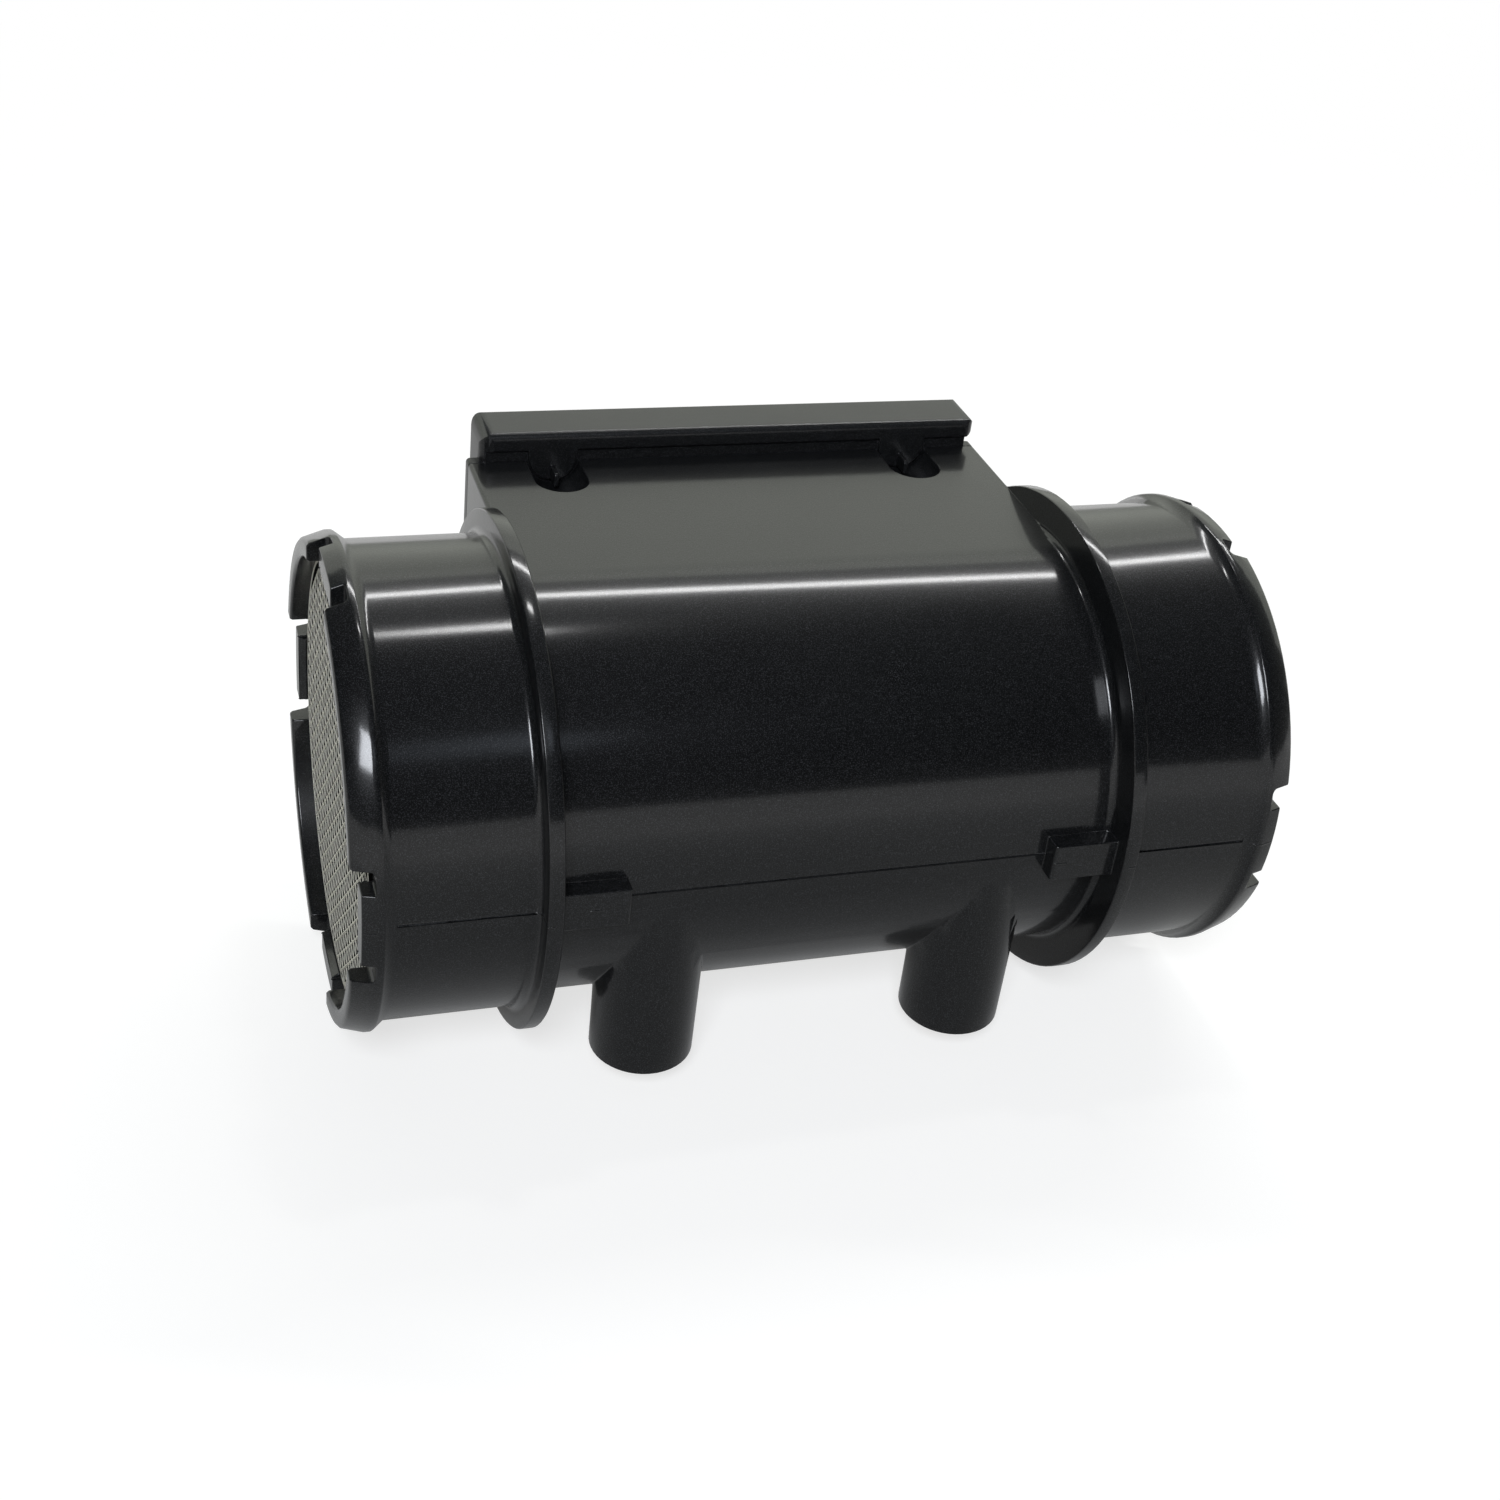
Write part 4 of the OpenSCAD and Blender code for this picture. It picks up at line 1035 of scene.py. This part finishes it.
def soft_card(name, colour, centre, reach, level):
    """A reflector card that is brightest in the middle and fades out to its edge."""
    material, tree = empty_material(name)
    place = add_node(tree, "ShaderNodeTexCoord")
    away = add_node(
        tree, "ShaderNodeVectorMath", {"operation": "DISTANCE", 1: tuple(centre)},
        {0: place.outputs["Object"]},
    )
    fade = add_node(
        tree, "ShaderNodeMapRange",
        {"interpolation_type": "SMOOTHSTEP", "From Max": reach, "To Min": level, "To Max": 0.0},
        {"Value": away.outputs["Value"]},
    )
    glow = add_node(tree, "ShaderNodeEmission", {"Color": srgb(colour)}, {"Strength": fade})
    clear = add_node(tree, "ShaderNodeBsdfTransparent")
    both = add_node(tree, "ShaderNodeAddShader", {}, {0: glow, 1: clear})
    add_node(tree, "ShaderNodeOutputMaterial", {}, {"Surface": both})
    return material


class AIRSENSOR_OT_stage(bpy.types.Operator):
    """Sets the pale floor, the soft lamps, the grey screens that shade the gloss, and the camera"""

    bl_idname = "airsensor.stage"
    bl_label = "Stage"

    def execute(self, context):
        scene = context.scene
        studio, colours = scene.air_sensor_studio, scene.air_sensor_colours
        low = CAD_BOX[0][2] - FLOOR_GAP
        corners = [(x * FLOOR_HALF, y * FLOOR_HALF, low) for x, y in ((-1, -1), (1, -1), (1, 1), (-1, 1))]
        stage_sheet("studio_floor", corners, floor_paper("matt_white_paper", colours.paper))

        world = bpy.data.worlds.new("studio")
        scene.world = world
        world.use_nodes = True
        tree = world.node_tree
        sky = tree.nodes["Background"]
        level = add_node(
            tree, "ShaderNodeMapRange", {"To Min": studio.world, "To Max": 1.0}, {"Value": seen_ray(tree)},
        )
        sky.inputs["Color"].default_value = (1, 1, 1, 1)
        tree.links.new(level.outputs["Result"], sky.inputs["Strength"])

        # The studio stands square to the camera's heading: right and ahead, as the camera sees them
        right = Vector((math.cos(CAMERA_AZIMUTH), math.sin(CAMERA_AZIMUTH), 0))
        ahead = Vector((-math.sin(CAMERA_AZIMUTH), math.cos(CAMERA_AZIMUTH), 0))

        def at(across, forward, up):
            return CENTRE + right * across + ahead * forward + Vector((0, 0, up))

        def level_sheet(low_edge, high_edge, left=-SET_SIDE, far=SET_SIDE):
            return [at(left, *low_edge), at(far, *low_edge), at(far, *high_edge), at(left, *high_edge)]

        # Each lamp stands where the photograph shows its reflection
        cloth = softbox_cloth("softbox_cloth", "#fbfff4", CENTRE.z, studio.softbox, studio.rim)
        corners = level_sheet((CLOTH_AHEAD, CLOTH_FOOT), (CLOTH_AHEAD, CLOTH_TOP))
        stage_sheet("back_softbox", corners, cloth).visible_camera = False
        strip_aim, side_aim = at(STRIP_PLACE[0], 0, 0), at(SIDE_PLACE[0], 0, 0)
        area_lamp("strip_lamp", at(*STRIP_PLACE), strip_aim, STRIP_SIZE, studio.strip)
        area_lamp("side_strip", at(*SIDE_PLACE), side_aim, SIDE_SIZE, studio.strip * SIDE_GAIN)
        key_place = CENTRE + KEY_DIRECTION * KEY_DISTANCE
        area_lamp("key_lamp", key_place, CENTRE, KEY_SIZE, studio.key, "#f4f8ff")

        across, forward, up = CARD_MIDDLE
        card = soft_card("soft_card", "#e6f0ff", at(*CARD_MIDDLE), CARD_REACH, studio.card)
        corners = level_sheet(
            (forward - CARD_DEPTH, up - CARD_HEIGHT), (forward + CARD_DEPTH, up + CARD_HEIGHT),
            across - CARD_REACH, across + CARD_REACH,
        )
        stage_sheet("front_card", corners, card).visible_camera = False

        # Grey screens round the set give the gloss something darker than the white room to show
        front_top = (SET_FRONT, SET_TOP)
        side_edges = [(SET_FRONT, SCREEN_FOOT), (SET_BACK, SCREEN_FOOT), (SET_BACK, SET_TOP), front_top]
        for name, shade, corners in (
            ("screen_above", "#7c7e82", level_sheet(front_top, (CEILING_END, CLOTH_TOP))),
            ("screen_ahead", "#505256", level_sheet((SET_FRONT, FRONT_FOOT), front_top)),
            ("screen_left", "#8a8a88", [at(-SET_SIDE, *edge) for edge in side_edges]),
            ("screen_right", "#8a8a88", [at(SET_SIDE, *edge) for edge in side_edges]),
        ):
            felt = new_material(name + "_felt", {"Base Color": srgb(shade), "Roughness": 0.9})[0]
            stage_sheet(name, corners, felt).visible_camera = False

        data = bpy.data.cameras.new("camera")
        data.sensor_width = SENSOR_WIDTH
        data.lens = FOCAL_LENGTH
        data.clip_start = 0.01
        camera = bpy.data.objects.new("camera", data)
        scene.collection.objects.link(camera)
        ce, se = math.cos(CAMERA_ELEVATION), math.sin(CAMERA_ELEVATION)
        back = Vector((math.sin(CAMERA_AZIMUTH) * ce, -math.cos(CAMERA_AZIMUTH) * ce, se))
        level_right = (-back).cross(Vector((0, 0, 1))).normalized()
        up = level_right.cross(-back)
        turn = Matrix.Rotation(CAMERA_ROLL, 3, back)
        axes = Matrix((turn @ level_right, turn @ up, back)).transposed()
        camera.matrix_world = Matrix.Translation(CAMERA_PLACE) @ axes.to_4x4()
        scene.camera = camera
        scene.view_settings.view_transform = "Standard"
        return {"FINISHED"}


OPERATORS = (
    AIRSENSOR_OT_body,
    AIRSENSOR_OT_cover,
    AIRSENSOR_OT_straightener,
    AIRSENSOR_OT_screen,
    AIRSENSOR_OT_seals,
    AIRSENSOR_OT_electronics,
    AIRSENSOR_OT_bridge,
    AIRSENSOR_OT_brass,
    AIRSENSOR_OT_stage,
)
SETTINGS = {
    "air_sensor_sizes": AirSensorSizes,
    "air_sensor_colours": AirSensorColours,
    "air_sensor_studio": AirSensorStudio,
}


class AIRSENSOR_PT_panel(bpy.types.Panel):
    """Lists the steps that dress the sensor, with their sizes and colours"""

    bl_label = "Air sensor"
    bl_idname = "AIRSENSOR_PT_panel"
    bl_space_type = "VIEW_3D"
    bl_region_type = "UI"
    bl_category = "Air sensor"

    def draw(self, context):
        for operator in OPERATORS:
            self.layout.operator(operator.bl_idname)
        for name, group in SETTINGS.items():
            box = self.layout.box()
            for prop in group.__annotations__:
                box.prop(getattr(context.scene, name), prop)


CLASSES = (*SETTINGS.values(), *OPERATORS, AIRSENSOR_PT_panel)


def register():
    for cls in CLASSES:
        bpy.utils.register_class(cls)
    for name, group in SETTINGS.items():
        setattr(bpy.types.Scene, name, bpy.props.PointerProperty(type=group))


def unregister():
    for name in SETTINGS:
        delattr(bpy.types.Scene, name)
    for cls in reversed(CLASSES):
        bpy.utils.unregister_class(cls)


def main():
    register()
    bpy.ops.airsensor.body()
    bpy.ops.airsensor.cover()
    bpy.ops.airsensor.straightener()
    bpy.ops.airsensor.screen()
    bpy.ops.airsensor.seals()
    bpy.ops.airsensor.electronics()
    bpy.ops.airsensor.bridge()
    bpy.ops.airsensor.brass()
    bpy.ops.airsensor.stage()


if __name__ == "__main__":
    main()
